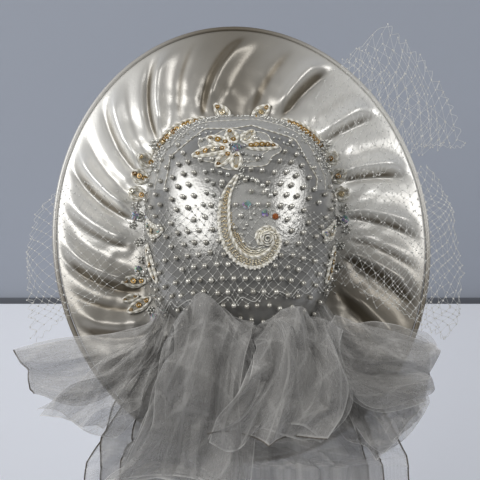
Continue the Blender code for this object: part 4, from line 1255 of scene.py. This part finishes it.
def tulle_material(name, opacity):
    """Nylon tulle: a matt hexagon net of hair-fine thread, seen as a grey haze that thickens
    where layers and pleats lie over each other."""
    look = bpy.context.scene.hat_colours
    material, tree, shader = start_material(name, look.tulle, Roughness=0.75, Sheen_Weight=0.25,
                                            Sheen_Roughness=0.5)
    # Real cells are 1 mm wide. Drawn 1.6 mm wide, so that a weave shows at all.
    cells = pattern(tree, "Voronoi", 0.0016, "Distance", on_cloth=True,
                    feature="DISTANCE_TO_EDGE", Randomness=0.6)
    weave = add_node(tree, "MapRange", {"From Min": 0.04, "From Max": 0.30, "To Min": opacity + 0.04,
                                        "To Max": opacity - 0.03}, {"Value": cells})
    # The grain of the net shows as faint lines along the fall, 3 mm apart.
    grain = pattern(tree, "Wave", 0.0015, on_cloth=True, Distortion=0.5, bands_direction="X")
    haze = add_node(tree, "Math", {"operation": "MULTIPLY_ADD", 1: 0.04, 2: -0.02}, {0: grain})
    cover = add_node(tree, "Math", {"operation": "ADD"},
                     {0: weave.outputs["Result"], 1: haze.outputs["Value"]})
    # Tone marks pressed folds and rolled edges, which stop more light where the cloth lies doubled, and
    # which are painted paler: a painted highlight.
    tone = own_tone(tree)
    closed = add_node(tree, "Math", {"operation": "MULTIPLY_ADD", 1: 0.35},
                      {0: tone, 2: cover.outputs["Value"]})
    tree.links.new(closed.outputs["Value"], shader.inputs["Alpha"])
    cloud = pattern(tree, "Noise", 0.03, on_cloth=True, Detail=2.0)
    # The tone also paints folds and edges in a paler colour: a painted highlight.
    paint(tree, shader, tone, mix(tree, cloud, look.tulle_shade, look.tulle), look.tulle_edge_and_fold_highlight)
    return material


def lace_materials():
    """Materials of a lace motif, in the order of its part numbers."""
    return [ground_material(), cord_material(), amber_material(), clear_material(),
            crystal_material()]


# Stage and camera

CAMERA_ELEVATION = math.radians(18)
CAMERA_DISTANCE = 1.15
CAMERA_AIM_DROP = 0.0071564
CAMERA_LENS = 95.83
FLOOR_HEIGHT = -0.30
FLOOR_BACK = 0.606
# Window-like soft lights: place, what they face, width, height and strength
LIGHTS = (
    # name, x, y, z, width, height, watts
    ("window_left", -1.40, -0.90, 1.18, 2.50, 0.84, 40.0),
    ("window_right", 1.40, -0.72, 1.18, 1.30, 0.66, 18.0),
    ("room_fill", 0.0, -2.2, 0.6, 2.0, 1.4, 0.6),
)
ROOM_LIGHT = 0.12
ROOM_COLOUR = "#C9CDD4"
BACKDROP_GLOW = 0.17
# Table, the gap at its far edge with a painted shade, and the wall behind it
BACKDROP_HALF_WIDTH = 3.0
TABLE_EDGE = FLOOR_BACK + 0.012
WALL_Y = TABLE_EDGE + 0.001
BACKDROP = (
    # name, near edge, far edge, colour, roughness
    ("table", (-0.3, FLOOR_HEIGHT), (FLOOR_BACK, FLOOR_HEIGHT), "#DCDEE4", 0.6),
    # Painted shade: a dark sheet fills the gap behind the table's far edge.
    ("table_gap_shade", (FLOOR_BACK, FLOOR_HEIGHT - 0.3), (TABLE_EDGE, FLOOR_HEIGHT + 0.005), "#5C5F66",
     0.7),
    ("wall", (WALL_Y, FLOOR_HEIGHT - 0.3), (WALL_Y, 2.5), "#8E939D", 0.8),
)


def stage_quad(name, near, far, hex_colour, roughness):
    """A flat plain backdrop piece across the picture, from a near edge to a far edge (y, z)."""
    mesh = bpy.data.meshes.new(name)
    corners = [(side * BACKDROP_HALF_WIDTH, *edge)
               for edge, sides in ((near, (-1, 1)), (far, (1, -1))) for side in sides]
    mesh.from_pydata(corners, [], [(0, 1, 2, 3)])
    colour = linear(hex_colour)
    material, _, shader = start_material(name, colour, Roughness=roughness)
    shader.inputs["Emission Color"].default_value = (*colour, 1.0)
    shader.inputs["Emission Strength"].default_value = BACKDROP_GLOW
    mesh.materials.append(material)
    item = bpy.data.objects.new(name, mesh)
    bpy.context.scene.collection.objects.link(item)


class HAT_OT_stage(bpy.types.Operator):
    """Add the camera, the soft lights and a plain table and wall"""
    bl_idname = "hat.stage"
    bl_label = "Stage"

    def execute(self, context):
        scene = context.scene
        scene.view_settings.view_transform = "Standard"
        aim = Vector(tipped((0.0, -CAMERA_AIM_DROP, 0.0)))
        camera = bpy.data.objects.new("camera", bpy.data.cameras.new("camera"))
        camera.data.lens = CAMERA_LENS
        camera.data.clip_end = 20.0
        back = Vector((0.0, -math.cos(CAMERA_ELEVATION), math.sin(CAMERA_ELEVATION)))
        camera.location = aim + back * CAMERA_DISTANCE
        camera.rotation_euler = (math.pi / 2 - CAMERA_ELEVATION, 0.0, 0.0)
        scene.collection.objects.link(camera)
        scene.camera = camera
        for name, x, y, z, width, height, watts in LIGHTS:
            data = bpy.data.lights.new(name, "AREA")
            data.shape = "RECTANGLE"
            data.size = width
            data.size_y = height
            data.energy = watts
            lamp = bpy.data.objects.new(name, data)
            lamp.location = (x, y, z)
            lamp.rotation_euler = (aim - lamp.location).to_track_quat("-Z", "Y").to_euler()
            scene.collection.objects.link(lamp)
        world = bpy.data.worlds.new("soft_room")
        world.use_nodes = True
        background = world.node_tree.nodes["Background"]
        background.inputs["Color"].default_value = (*linear(ROOM_COLOUR), 1.0)
        background.inputs["Strength"].default_value = ROOM_LIGHT
        scene.world = world
        for piece in BACKDROP:
            stage_quad(*piece)
        return {"FINISHED"}


def brim_side_shade(direction):
    """Painted shade on three sides of the brim, standing in for the gloss turning away where the floats
    of the weave lie the other way: bell curves of direction."""
    away = (np.degrees(direction)[:, None] - np.array(BRIM_PAINTED_SHADE_SIDES)[:, 0] + 180) % 360 - 180
    _, widths, depths = np.transpose(BRIM_PAINTED_SHADE_SIDES)
    return (depths * np.exp(-(away / widths) ** 2)).sum(axis=1)


class HAT_OT_brim(bpy.types.Operator):
    """Add the gathered satin brim"""
    bl_idname = "hat.brim"
    bl_label = "Brim"

    def execute(self, context):
        direction = np.linspace(0.0, math.tau, 721)
        share = np.linspace(0.0, 1.0, 49)[:, None] ** 0.9
        points = brim_surface(direction, share, crispness=0.45)
        # Fine creases run with the gathers: short across them, long towards the rim.
        swirl = direction - math.radians(11) * share ** FOLD_SWIRL_POWER
        along_fold = joined(np.cos(swirl), np.sin(swirl), 0.5 * share)
        near_crown = smooth_step(share, 0.04, 0.16) * (1 - smooth_step(share, 0.30, 0.75))
        points[..., 2] += 0.0006 * near_crown * ripple(along_fold, 0.13, 11)
        inside_rim = smooth_step(share, 0.1, 0.4) * (1 - smooth_step(share, 0.85, 1.0))
        points[..., 2] += 0.0005 * inside_rim * ripple(along_fold, 0.25, 5)
        # Painted shade: the tone is darkest deep in each gather's tuck and on three sides of the brim.
        brim_painted_shade = np.clip(tuck_painted_shade(direction, share) + brim_side_shade(direction), 0.0, 1.0)
        # A share of 1.42 paints the brim's satin lighter than the crown's: a lit copy of one satin.
        piece = make_piece("satin_brim", [patch(points[:, ::-1], 0, brim_painted_shade[:, ::-1])],
                           [satin_material("brim_satin", 0.38, 0.42, 1.42, 0.40)], ["brim"])
        give_wall(piece, BRIM_WALL)
        return {"FINISHED"}


class HAT_OT_crown(bpy.types.Operator):
    """Add the satin crown"""
    bl_idname = "hat.crown"
    bl_label = "Crown"

    def execute(self, context):
        direction = np.linspace(0.0, math.tau, 241)
        rise = np.linspace(0.0, math.pi / 2, 61)[:, None]
        reach = crown_reach(direction) * np.cos(rise) ** CROWN_SHOULDER_POWER
        height = CROWN_DEPTH * np.sin(rise) ** CROWN_SHOULDER_POWER
        points = joined(reach * np.cos(direction), reach * np.sin(direction), height)
        points[-1, :, :2] = 0.0
        # A share of 0.58 paints the crown's satin darker than the brim's: a shaded copy of one satin.
        piece = make_piece("satin_crown", [patch(points, 0, 0.0)],
                           [satin_material("crown_satin", 0.27, 0.52, 0.58, 0.80)], ["crown"])
        give_wall(piece, CROWN_WALL)
        return {"FINISHED"}


class HAT_OT_lace(bpy.types.Operator):
    """Add the beaded lace petals, leaves, crescents, loops and arcs"""
    bl_idname = "hat.lace"
    bl_label = "Lace motifs"

    def execute(self, context):
        looks = lace_materials()
        motifs = []
        for name, across, along, heading, length, width, bend, *sequins in CROWN_LEAVES:
            motifs.append((name, leaf_line(length * LEAF_LENGTH, math.radians(bend)), width,
                           crown_seat(across, along, heading), CROWN_LACE_LIFT, sequins, 24, 3))
        for name, direction, out, heading, length, width, bend, *sequins in BRIM_LEAVES:
            motifs.append((name, leaf_line(length * LEAF_LENGTH, math.radians(bend)), width,
                           brim_seat(direction, out * LEAF_WIDTH, heading), BRIM_LACE_LIFT, sequins,
                           24, 3))
        for name, start, end, out, width, *sequins in BRIM_ARCS:
            motifs.append((name, leaf_line(1.0, 0.0), width,
                           arc_seat(start, end, out * LEAF_WIDTH), BRIM_LACE_LIFT, sequins, 60, 2))
        for seed, (name, line, width, seat, lift, sequins, *detail) in enumerate(motifs):
            parts = lace_patches(line, rounded_width(width * LEAF_WIDTH), seat, lift, *sequins,
                                 seed, *detail)
            make_piece("lace_" + name, parts, looks, [name])
        return {"FINISHED"}


class HAT_OT_paisley(bpy.types.Operator):
    """Add the scrolled paisley with its beaded rim"""
    bl_idname = "hat.paisley"
    bl_label = "Paisley"

    def execute(self, context):
        path = [(across * CROWN_HALF_WIDTH, along * CROWN_HALF_LENGTH)
                for across, along, _ in PAISLEY_PATH]
        widths = smooth_rows([row[2:] for row in PAISLEY_PATH], 200)[:, 0] * PAISLEY_WIDTH / 2
        ticks = np.linspace(0, 1, len(widths))

        def half_width(share):
            return np.interp(share, ticks, widths)

        def seat(a, b, lift):
            return off_crown(joined(a, b, crown_height(a, b)), lift)

        line = path_line(path)

        def along_band(start, end, count, side, lift):
            share = np.linspace(start, end, count)
            middle, across = line(share)
            return seat(*(middle + across * (half_width(share) * side)[:, None]).T, lift)

        parts = lace_patches(line, half_width, seat, CROWN_LACE_LIFT, 0, "clear", 51, 110, 2)
        for side, start, end, count, radius, lift in PAISLEY_BEAD_ROWS:
            centres = along_band(start, end, count, side, lift)
            parts.append(crown_beads(centres, radius, CLEAR, np.linspace(0, 1, count), lift=0.0))
        # A cord closes the finer rows off, and short white beads stand across the outer rim.
        parts.append(patch(tubes(along_band(0.30, 0.62, 40, 2.6, 0.0007), 0.0005, 6), CORD))
        ends = [along_band(0.20, 0.74, 28, side, 0.0016) for side in (-0.80, -1.22)]
        bars = np.stack(ends, axis=1)
        parts.append(patch(tubes(bars, 0.0010, 8, crown_normals(bars)), CORD))
        parts.append(crown_beads(np.concatenate(ends), 0.0010, CORD, lift=0.0))
        # The scroll's disc: a cord wound to its middle, over the end of the band.
        share = np.linspace(0, 1, 90)
        reach = SCROLL_RADIUS * (1 - 0.86 * share)
        turn = math.tau * SCROLL_TURNS * share
        scroll = seat(SCROLL_PLACE[0] * CROWN_HALF_WIDTH + reach * np.cos(turn),
                      SCROLL_PLACE[1] * CROWN_HALF_LENGTH + reach * np.sin(turn), 0.0022)
        parts.append(patch(tubes(scroll, 0.0006, 6), CORD))
        make_piece("lace_paisley", parts, lace_materials(), ["paisley"])
        return {"FINISHED"}


class HAT_OT_organza(bpy.types.Operator):
    """Add the sheer ground behind the beadwork of the crown"""
    bl_idname = "hat.organza"
    bl_label = "Organza ground"

    def execute(self, context):
        # A scalloped band along the shoulder
        angle = np.linspace(math.radians(20), math.radians(160), 150)
        inner = 0.80 - 0.04 * np.abs(np.sin(6.5 * angle))
        ring = inner + (0.99 - inner) * np.linspace(0, 1, 14)[:, None]
        band = off_crown(ring_place(ring, angle), ORGANZA_LIFT)
        # A rounded field behind the flower
        turn = np.linspace(0, math.tau, 97)
        field = np.linspace(0.02, 1, 12)[:, None] * (1 + 0.07 * np.cos(7 * turn))
        across, along, half_width, half_length = ORGANZA_FIELD
        flower = crown_place(across + half_width * field * np.cos(turn),
                             along + half_length * field * np.sin(turn))
        flower = off_crown(flower, ORGANZA_LIFT)
        # The inside of the paisley, from its band to its open side
        path = smooth_rows(PAISLEY_PATH, 81)[:57, :2]
        share = np.linspace(0, 1, 20)[:, None, None]
        inside = path + (smooth_rows(PAISLEY_OPEN_SIDE, 57) - path) * share
        filling = off_crown(crown_place(inside[..., 0], inside[..., 1]), ORGANZA_LIFT)
        parts = [patch(band), patch(flower[::-1]), patch(filling)]
        for line, radius in ((band[0], 0.0005), (band[6], 0.0003), (flower[-1], 0.0004),
                             (flower[8], 0.0003)):
            parts.append(patch(tubes(line, radius, 6), 1))
        piece = make_piece("organza_ground", parts, [organza_material(), cord_material()])
        return {"FINISHED"}


class HAT_OT_pearls(bpy.types.Operator):
    """Add the rows of pearls on the crown"""
    bl_idname = "hat.pearls"
    bl_label = "Pearls"

    def execute(self, context):
        random = np.random.default_rng(3)
        places = []
        for row, along in enumerate(np.arange(*PEARL_ROWS)):
            across = np.arange(-0.95 + PEARL_STEP / 2 * (row % 2), 0.96, PEARL_STEP)
            place = joined(across, along)
            place[:, 1] -= 0.05 * across ** 2
            places.append(place + random.normal(scale=0.007, size=place.shape))
        places = np.concatenate(places)
        places = places[crown_height(places[:, 0] * CROWN_HALF_WIDTH,
                                     places[:, 1] * CROWN_HALF_LENGTH) > 0.20 * CROWN_DEPTH]
        taken = [np.array(row[1:3]) for row in CROWN_LEAVES]
        for _, across, along, heading, length, *_ in CROWN_LEAVES:
            tip = np.array((math.cos(math.radians(heading)) / CROWN_HALF_WIDTH,
                            math.sin(math.radians(heading)) / CROWN_HALF_LENGTH))
            taken += [np.array((across, along)) + tip * LEAF_LENGTH * length * s for s in (0.5, 1.0)]
        taken += list(smooth_rows(PAISLEY_PATH, 40)[:, :2])
        taken += [np.array(row[i:i + 2]) for row in CROWN_STRINGS for i in (0, 2)]
        for name in ("crystal_paisley", "stone_ring", "bead_amber"):
            low, high = node_extent(name)
            taken.append((low + high)[:2] / 2 / (CROWN_HALF_WIDTH, CROWN_HALF_LENGTH))
        apart = np.linalg.norm(places[:, None] - np.array(taken)[None], axis=-1).min(axis=1)
        places = crown_place(*places[apart > PEARL_CLEARANCE].T)
        radius = context.scene.hat_sizes.pearl / 2
        parts = [crown_beads(places, radius, 0, random.uniform(0, 1, len(places)), 12, 7,
                             radius * 0.9)]
        make_piece("crown_pearls", parts, [pearl_material()])
        return {"FINISHED"}


class HAT_OT_beads(bpy.types.Operator):
    """Add the strings and rosettes of small beads between the motifs"""
    bl_idname = "hat.beads"
    bl_label = "Small beads"

    def execute(self, context):
        random = np.random.default_rng(8)
        parts = []
        for across_1, along_1, across_2, along_2, count, radius in CROWN_STRINGS:
            share = np.linspace(0, 1, count)
            across = across_1 + (across_2 - across_1) * share + random.normal(scale=0.006, size=count)
            along = along_1 + (along_2 - along_1) * share + random.normal(scale=0.006, size=count)
            parts.append(crown_beads(crown_place(across, along), radius, 0,
                                     random.uniform(0, 1, count), 8, 6))
        for direction, out, count, radius in ROSETTES:
            angle = math.radians(direction)
            reach = crown_reach(angle) + out
            ring = np.arange(count) * math.tau / (count - 1)
            outer = np.arange(count) > 0
            spread = 2.1 * radius * outer * random.uniform(0.9, 1.15, count)
            places = on_brim(reach * math.cos(angle) + spread * np.cos(ring),
                             reach * math.sin(angle) + spread * np.sin(ring),
                             radius * (1.6 - 0.5 * outer))
            places = places[crown_fullness(places) >= 1.05]
            parts.append(beads(places, (0, 0, 1), radius, 0, random.uniform(0, 1, len(places)), 8, 6))
        for share, start, end, count in SHOULDER_ROWS:
            angle = np.radians(np.linspace(start, end, count)) + random.normal(scale=0.006, size=count)
            places = ring_place(share + random.normal(scale=0.006, size=count), angle)
            places = places[random.uniform(size=count) > 0.12]
            parts.append(crown_beads(places, random.uniform(0.0010, 0.0014, len(places)), 0,
                                     random.uniform(0, 1, len(places)), lift=0.0010))
        places = crown_place(*smooth_rows(PAISLEY_OPEN_SIDE, 13)[1:8].T)
        parts.append(crown_beads(places, PAISLEY_BEAD, 0, np.linspace(0, 1, len(places)), 10, 7))
        places = crown_place(*np.transpose(BLUE_BEADS))
        parts.append(crown_beads(places, 0.0019, 1, 0.5, 10, 7, 0.0022))
        make_piece("small_beads", parts, [bead_material(), blue_bead_material()])
        return {"FINISHED"}


class HAT_OT_stones(bpy.types.Operator):
    """Give the cut stones and the amber bead their finish"""
    bl_idname = "hat.stones"
    bl_label = "Stones"

    def execute(self, context):
        crystal = crystal_material()
        for name in ("crystal_flower", "crystal_paisley", "stone_ring", "crystal_left",
                     "crystal_right", "crystal_low_1", "crystal_low_2"):
            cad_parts[name].material_slots[0].material = crystal
        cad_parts["bead_amber"].material_slots[0].material = orange_bead_material()
        return {"FINISHED"}


class HAT_OT_brim_edge(bpy.types.Operator):
    """Add the rolled satin edge of the brim"""
    bl_idname = "hat.brim_edge"
    bl_label = "Rolled edge"

    def execute(self, context):
        radius = context.scene.hat_sizes.edge_roll / 2
        direction = np.linspace(0.0, math.tau, 361)
        path = brim_surface(direction, np.ones_like(direction))
        path[:, 2] -= BRIM_WALL / 2
        path += joined(np.cos(direction), np.sin(direction), 0.0) * (radius + SEAM_GAP)
        sides = 12
        # Painted shade: the edge is darkened on the brim's three shaded sides, and a little more all
        # round.
        edge_shade = np.repeat(np.clip(brim_side_shade(direction) + 0.15, 0.0, 1.0), sides + 1)
        # A share of 1.1 paints the edge's satin lighter than the crown's: a lit copy of one satin.
        make_piece("rolled_edge", [patch(tubes(path, radius, sides), 0, edge_shade)],
                   [satin_material("edge_satin", 0.44, 0.36, 1.1)], ["brim_edge"])
        return {"FINISHED"}


class HAT_OT_nets(bpy.types.Operator):
    """Add the puffs of veiling net and the net over the crown"""
    bl_idname = "hat.nets"
    bl_label = "Veiling net"

    def execute(self, context):
        sizes = context.scene.hat_sizes
        for name, border, side, *layers in NET_PUFFS:
            parts = []
            for layer, (across, along, turn) in enumerate(layers):
                parts += puff_net(border, layer, (across, along), math.radians(turn),
                                  sizes.net_thread, sizes.net_knot)
            for edge in (None, side):
                path = puff_rim(border, net_puff(border, 0), edge)
                parts.append(patch(tubes(path, sizes.net_thread * 0.8, 5)))
            make_piece("veiling_" + name, parts, [thread_material()], [name])
        columns, rows = NET_CROWN_CELLS
        parts = net_patches(lambda column, row: (net_crown_place(column / columns, row / rows),
                                                 column >= 0),
                            columns, rows, sizes.net_thread, sizes.net_knot)
        parts.append(selvedge(net_crown_place, 11, 0.045, sizes.net_thread * 2.8))
        make_piece("veiling_net_crown", parts, [thread_material()], ["net_crown"])
        return {"FINISHED"}


class HAT_OT_tulle(bpy.types.Operator):
    """Add the tulle veil, wings, fans and puffs with their bound hems"""
    bl_idname = "hat.tulle"
    bl_label = "Tulle"

    def execute(self, context):
        sizes = context.scene.hat_sizes
        for row, (name, table, falls, pleats, crush, bound, *cut) in enumerate(SHEETS):
            flat_width, flat_length, *layers = cut
            for layer, (spread, opacity) in enumerate(layers):
                points, folds = tulle_points(table, falls, pleats, crush, layer, spread,
                                             100 + 10 * row + layer, TULLE_ROWS, TULLE_COLUMNS)
                # Tone marks pressed folds, and the rolled edge along the free sides: denser cloth with
                # a painted highlight.
                density_and_highlight = FOLD_DENSITY_AND_HIGHLIGHT * folds
                if name == "veil":
                    points = veil_fall(points, VEIL_FALL_ROWS, 300 + 5 * layer)
                    density_and_highlight = np.concatenate((density_and_highlight, np.repeat(density_and_highlight[-1:], VEIL_FALL_ROWS, axis=0)))
                density_and_highlight[-1] = 1.0
                density_and_highlight[:, (0, -1)] = 1.0
                piece = make_piece(f"{name}_{layer + 1}", [patch(points, 0, density_and_highlight)],
                                   [tulle_material("tulle", opacity)], [name])
                if bound == "sides" or (bound and layer == 0):
                    edges = {"sides": (points[10:, 0], points[10:, -1]), "foot": (points[-1],),
                             "tip": (points[len(points) // 2 - 4],)}[bound]
                    threads = [patch(tubes(edge, sizes.hem / 2, 6)) for edge in edges]
                    make_piece(f"hem_{name}_{layer + 1}", threads, [hem_material()])
        return {"FINISHED"}


def colour_property(name, what, hex_colour):
    """A colour that a user may change."""
    return bpy.props.FloatVectorProperty(name=name, description=what, subtype="COLOR", size=3,
                                         min=0.0, max=1.0, default=linear(hex_colour))


def length_property(name, what, metres):
    """A length in metres that a user may change."""
    return bpy.props.FloatProperty(name=name, description=what, subtype="DISTANCE", unit="LENGTH",
                                   min=metres / 4, max=metres * 4, default=metres)


class HatColours(bpy.types.PropertyGroup):
    """Colours of the hat's cloths, threads and beads"""
    satin: colour_property("Satin", "Satin in the light", "#D0CFCB")
    satin_shade: colour_property("Satin shade", "Satin where its sheen turns away", "#C2C0BB")
    # Painted shade: the dark colour in each gather's tuck and on three sides of the brim and its edge
    satin_painted_shade: colour_property("Satin tuck", "Satin deep in the gathers", "#6E6658")
    organza: colour_property("Organza", "Sheer ground of the beadwork", "#D3D2CD")
    lace_ground: colour_property("Lace ground", "Embroidered ground of the motifs", "#BFBDB6")
    # Painted shade: the darker colour in the hollows of stitches and twists
    lace_hollow_shade: colour_property("Lace shade", "Hollows between stitches and twists", "#B3AD9C")
    cord: colour_property("Cord", "Gimp cord round the motifs", "#F6F3EA")
    amber: colour_property("Amber", "Amber sequins in the light", "#B08A42")
    amber_deep: colour_property("Deep amber", "The darkest amber sequins", "#71501E")
    clear: colour_property("Clear sequin", "Clear sequins", "#E2DECF")
    clear_gold: colour_property("Champagne sequin", "Warmer clear sequins", "#C9B489")
    bead: colour_property("Small bead", "Silver-lined beads", "#DAD9D3")
    bead_shade: colour_property("Small bead shade", "Darker silver-lined beads", "#B2B0A8")
    blue_bead: colour_property("Blue bead", "Dark blue beads in the flower", "#1F2A48")
    orange_bead: colour_property("Orange bead", "Burnt orange glass bead", "#A8480E")
    crystal: colour_property("Crystal", "Cut crystals", "#B8C6DA")
    pearl: colour_property("Pearl", "Crown pearls in the light", "#D6D3CA")
    pearl_shade: colour_property("Pearl shade", "The darker crown pearls", "#A9A59B")
    thread: colour_property("Net thread", "Thread of the veiling net", "#E6E5E0")
    thread_shade: colour_property("Net thread shade", "Net thread turned away", "#C2C1BC")
    tulle: colour_property("Tulle", "Tulle in the light", "#B1AFAC")
    tulle_shade: colour_property("Tulle shade", "Tulle in its pleats", "#999793")
    # Painted highlight: the paler colour of pressed folds and rolled edges
    tulle_edge_and_fold_highlight: colour_property("Tulle hem", "Rolled edges of the tulle", "#D2D0CC")
    hem: colour_property("Hem", "Binding of the tulle", "#6E675E")
    # Painted shade: the darker colour in the hollows of the binding
    hem_hollow_shade: colour_property("Hem shade", "Hollows of the binding", "#4F4A43")


class HatSizes(bpy.types.PropertyGroup):
    """Sizes of the hat's trimmings"""
    pearl: length_property("Pearl", "Diameter of the crown's pearls", 0.0046)
    edge_roll: length_property("Rolled edge", "Diameter of the brim's rolled edge", 0.0044)
    net_thread: length_property("Net thread", "Diameter of the veiling net's thread", 0.00023)
    net_knot: length_property("Net knot", "Diameter of the veiling net's knots", 0.0017)
    hem: length_property("Hem", "Diameter of the tulle's bound hem", 0.0012)


class HAT_PT_pieces(bpy.types.Panel):
    """Sidebar panel with the hat's colours, sizes and pieces"""
    bl_idname = "HAT_PT_pieces"
    bl_label = "Bridal Hat"
    bl_space_type = "VIEW_3D"
    bl_region_type = "UI"
    bl_category = "Bridal Hat"

    def draw(self, context):
        for group in (context.scene.hat_colours, context.scene.hat_sizes):
            for name in group.__annotations__:
                self.layout.prop(group, name)
        for operator in OPERATORS:
            self.layout.operator(operator.bl_idname)


OPERATORS = (HAT_OT_stage, HAT_OT_brim, HAT_OT_brim_edge, HAT_OT_crown, HAT_OT_organza,
             HAT_OT_lace, HAT_OT_paisley, HAT_OT_pearls, HAT_OT_beads, HAT_OT_stones,
             HAT_OT_nets, HAT_OT_tulle)
CLASSES = (HatColours, HatSizes, HAT_PT_pieces, *OPERATORS)


def register():
    for item in CLASSES:
        bpy.utils.register_class(item)
    bpy.types.Scene.hat_colours = bpy.props.PointerProperty(type=HatColours)
    bpy.types.Scene.hat_sizes = bpy.props.PointerProperty(type=HatSizes)


def unregister():
    del bpy.types.Scene.hat_sizes
    del bpy.types.Scene.hat_colours
    for item in reversed(CLASSES):
        bpy.utils.unregister_class(item)


def main():
    register()
    bpy.ops.hat.stage()
    bpy.ops.hat.brim()
    bpy.ops.hat.brim_edge()
    bpy.ops.hat.crown()
    bpy.ops.hat.organza()
    bpy.ops.hat.lace()
    bpy.ops.hat.paisley()
    bpy.ops.hat.pearls()
    bpy.ops.hat.beads()
    bpy.ops.hat.stones()
    bpy.ops.hat.nets()
    bpy.ops.hat.tulle()


if __name__ == "__main__":
    main()
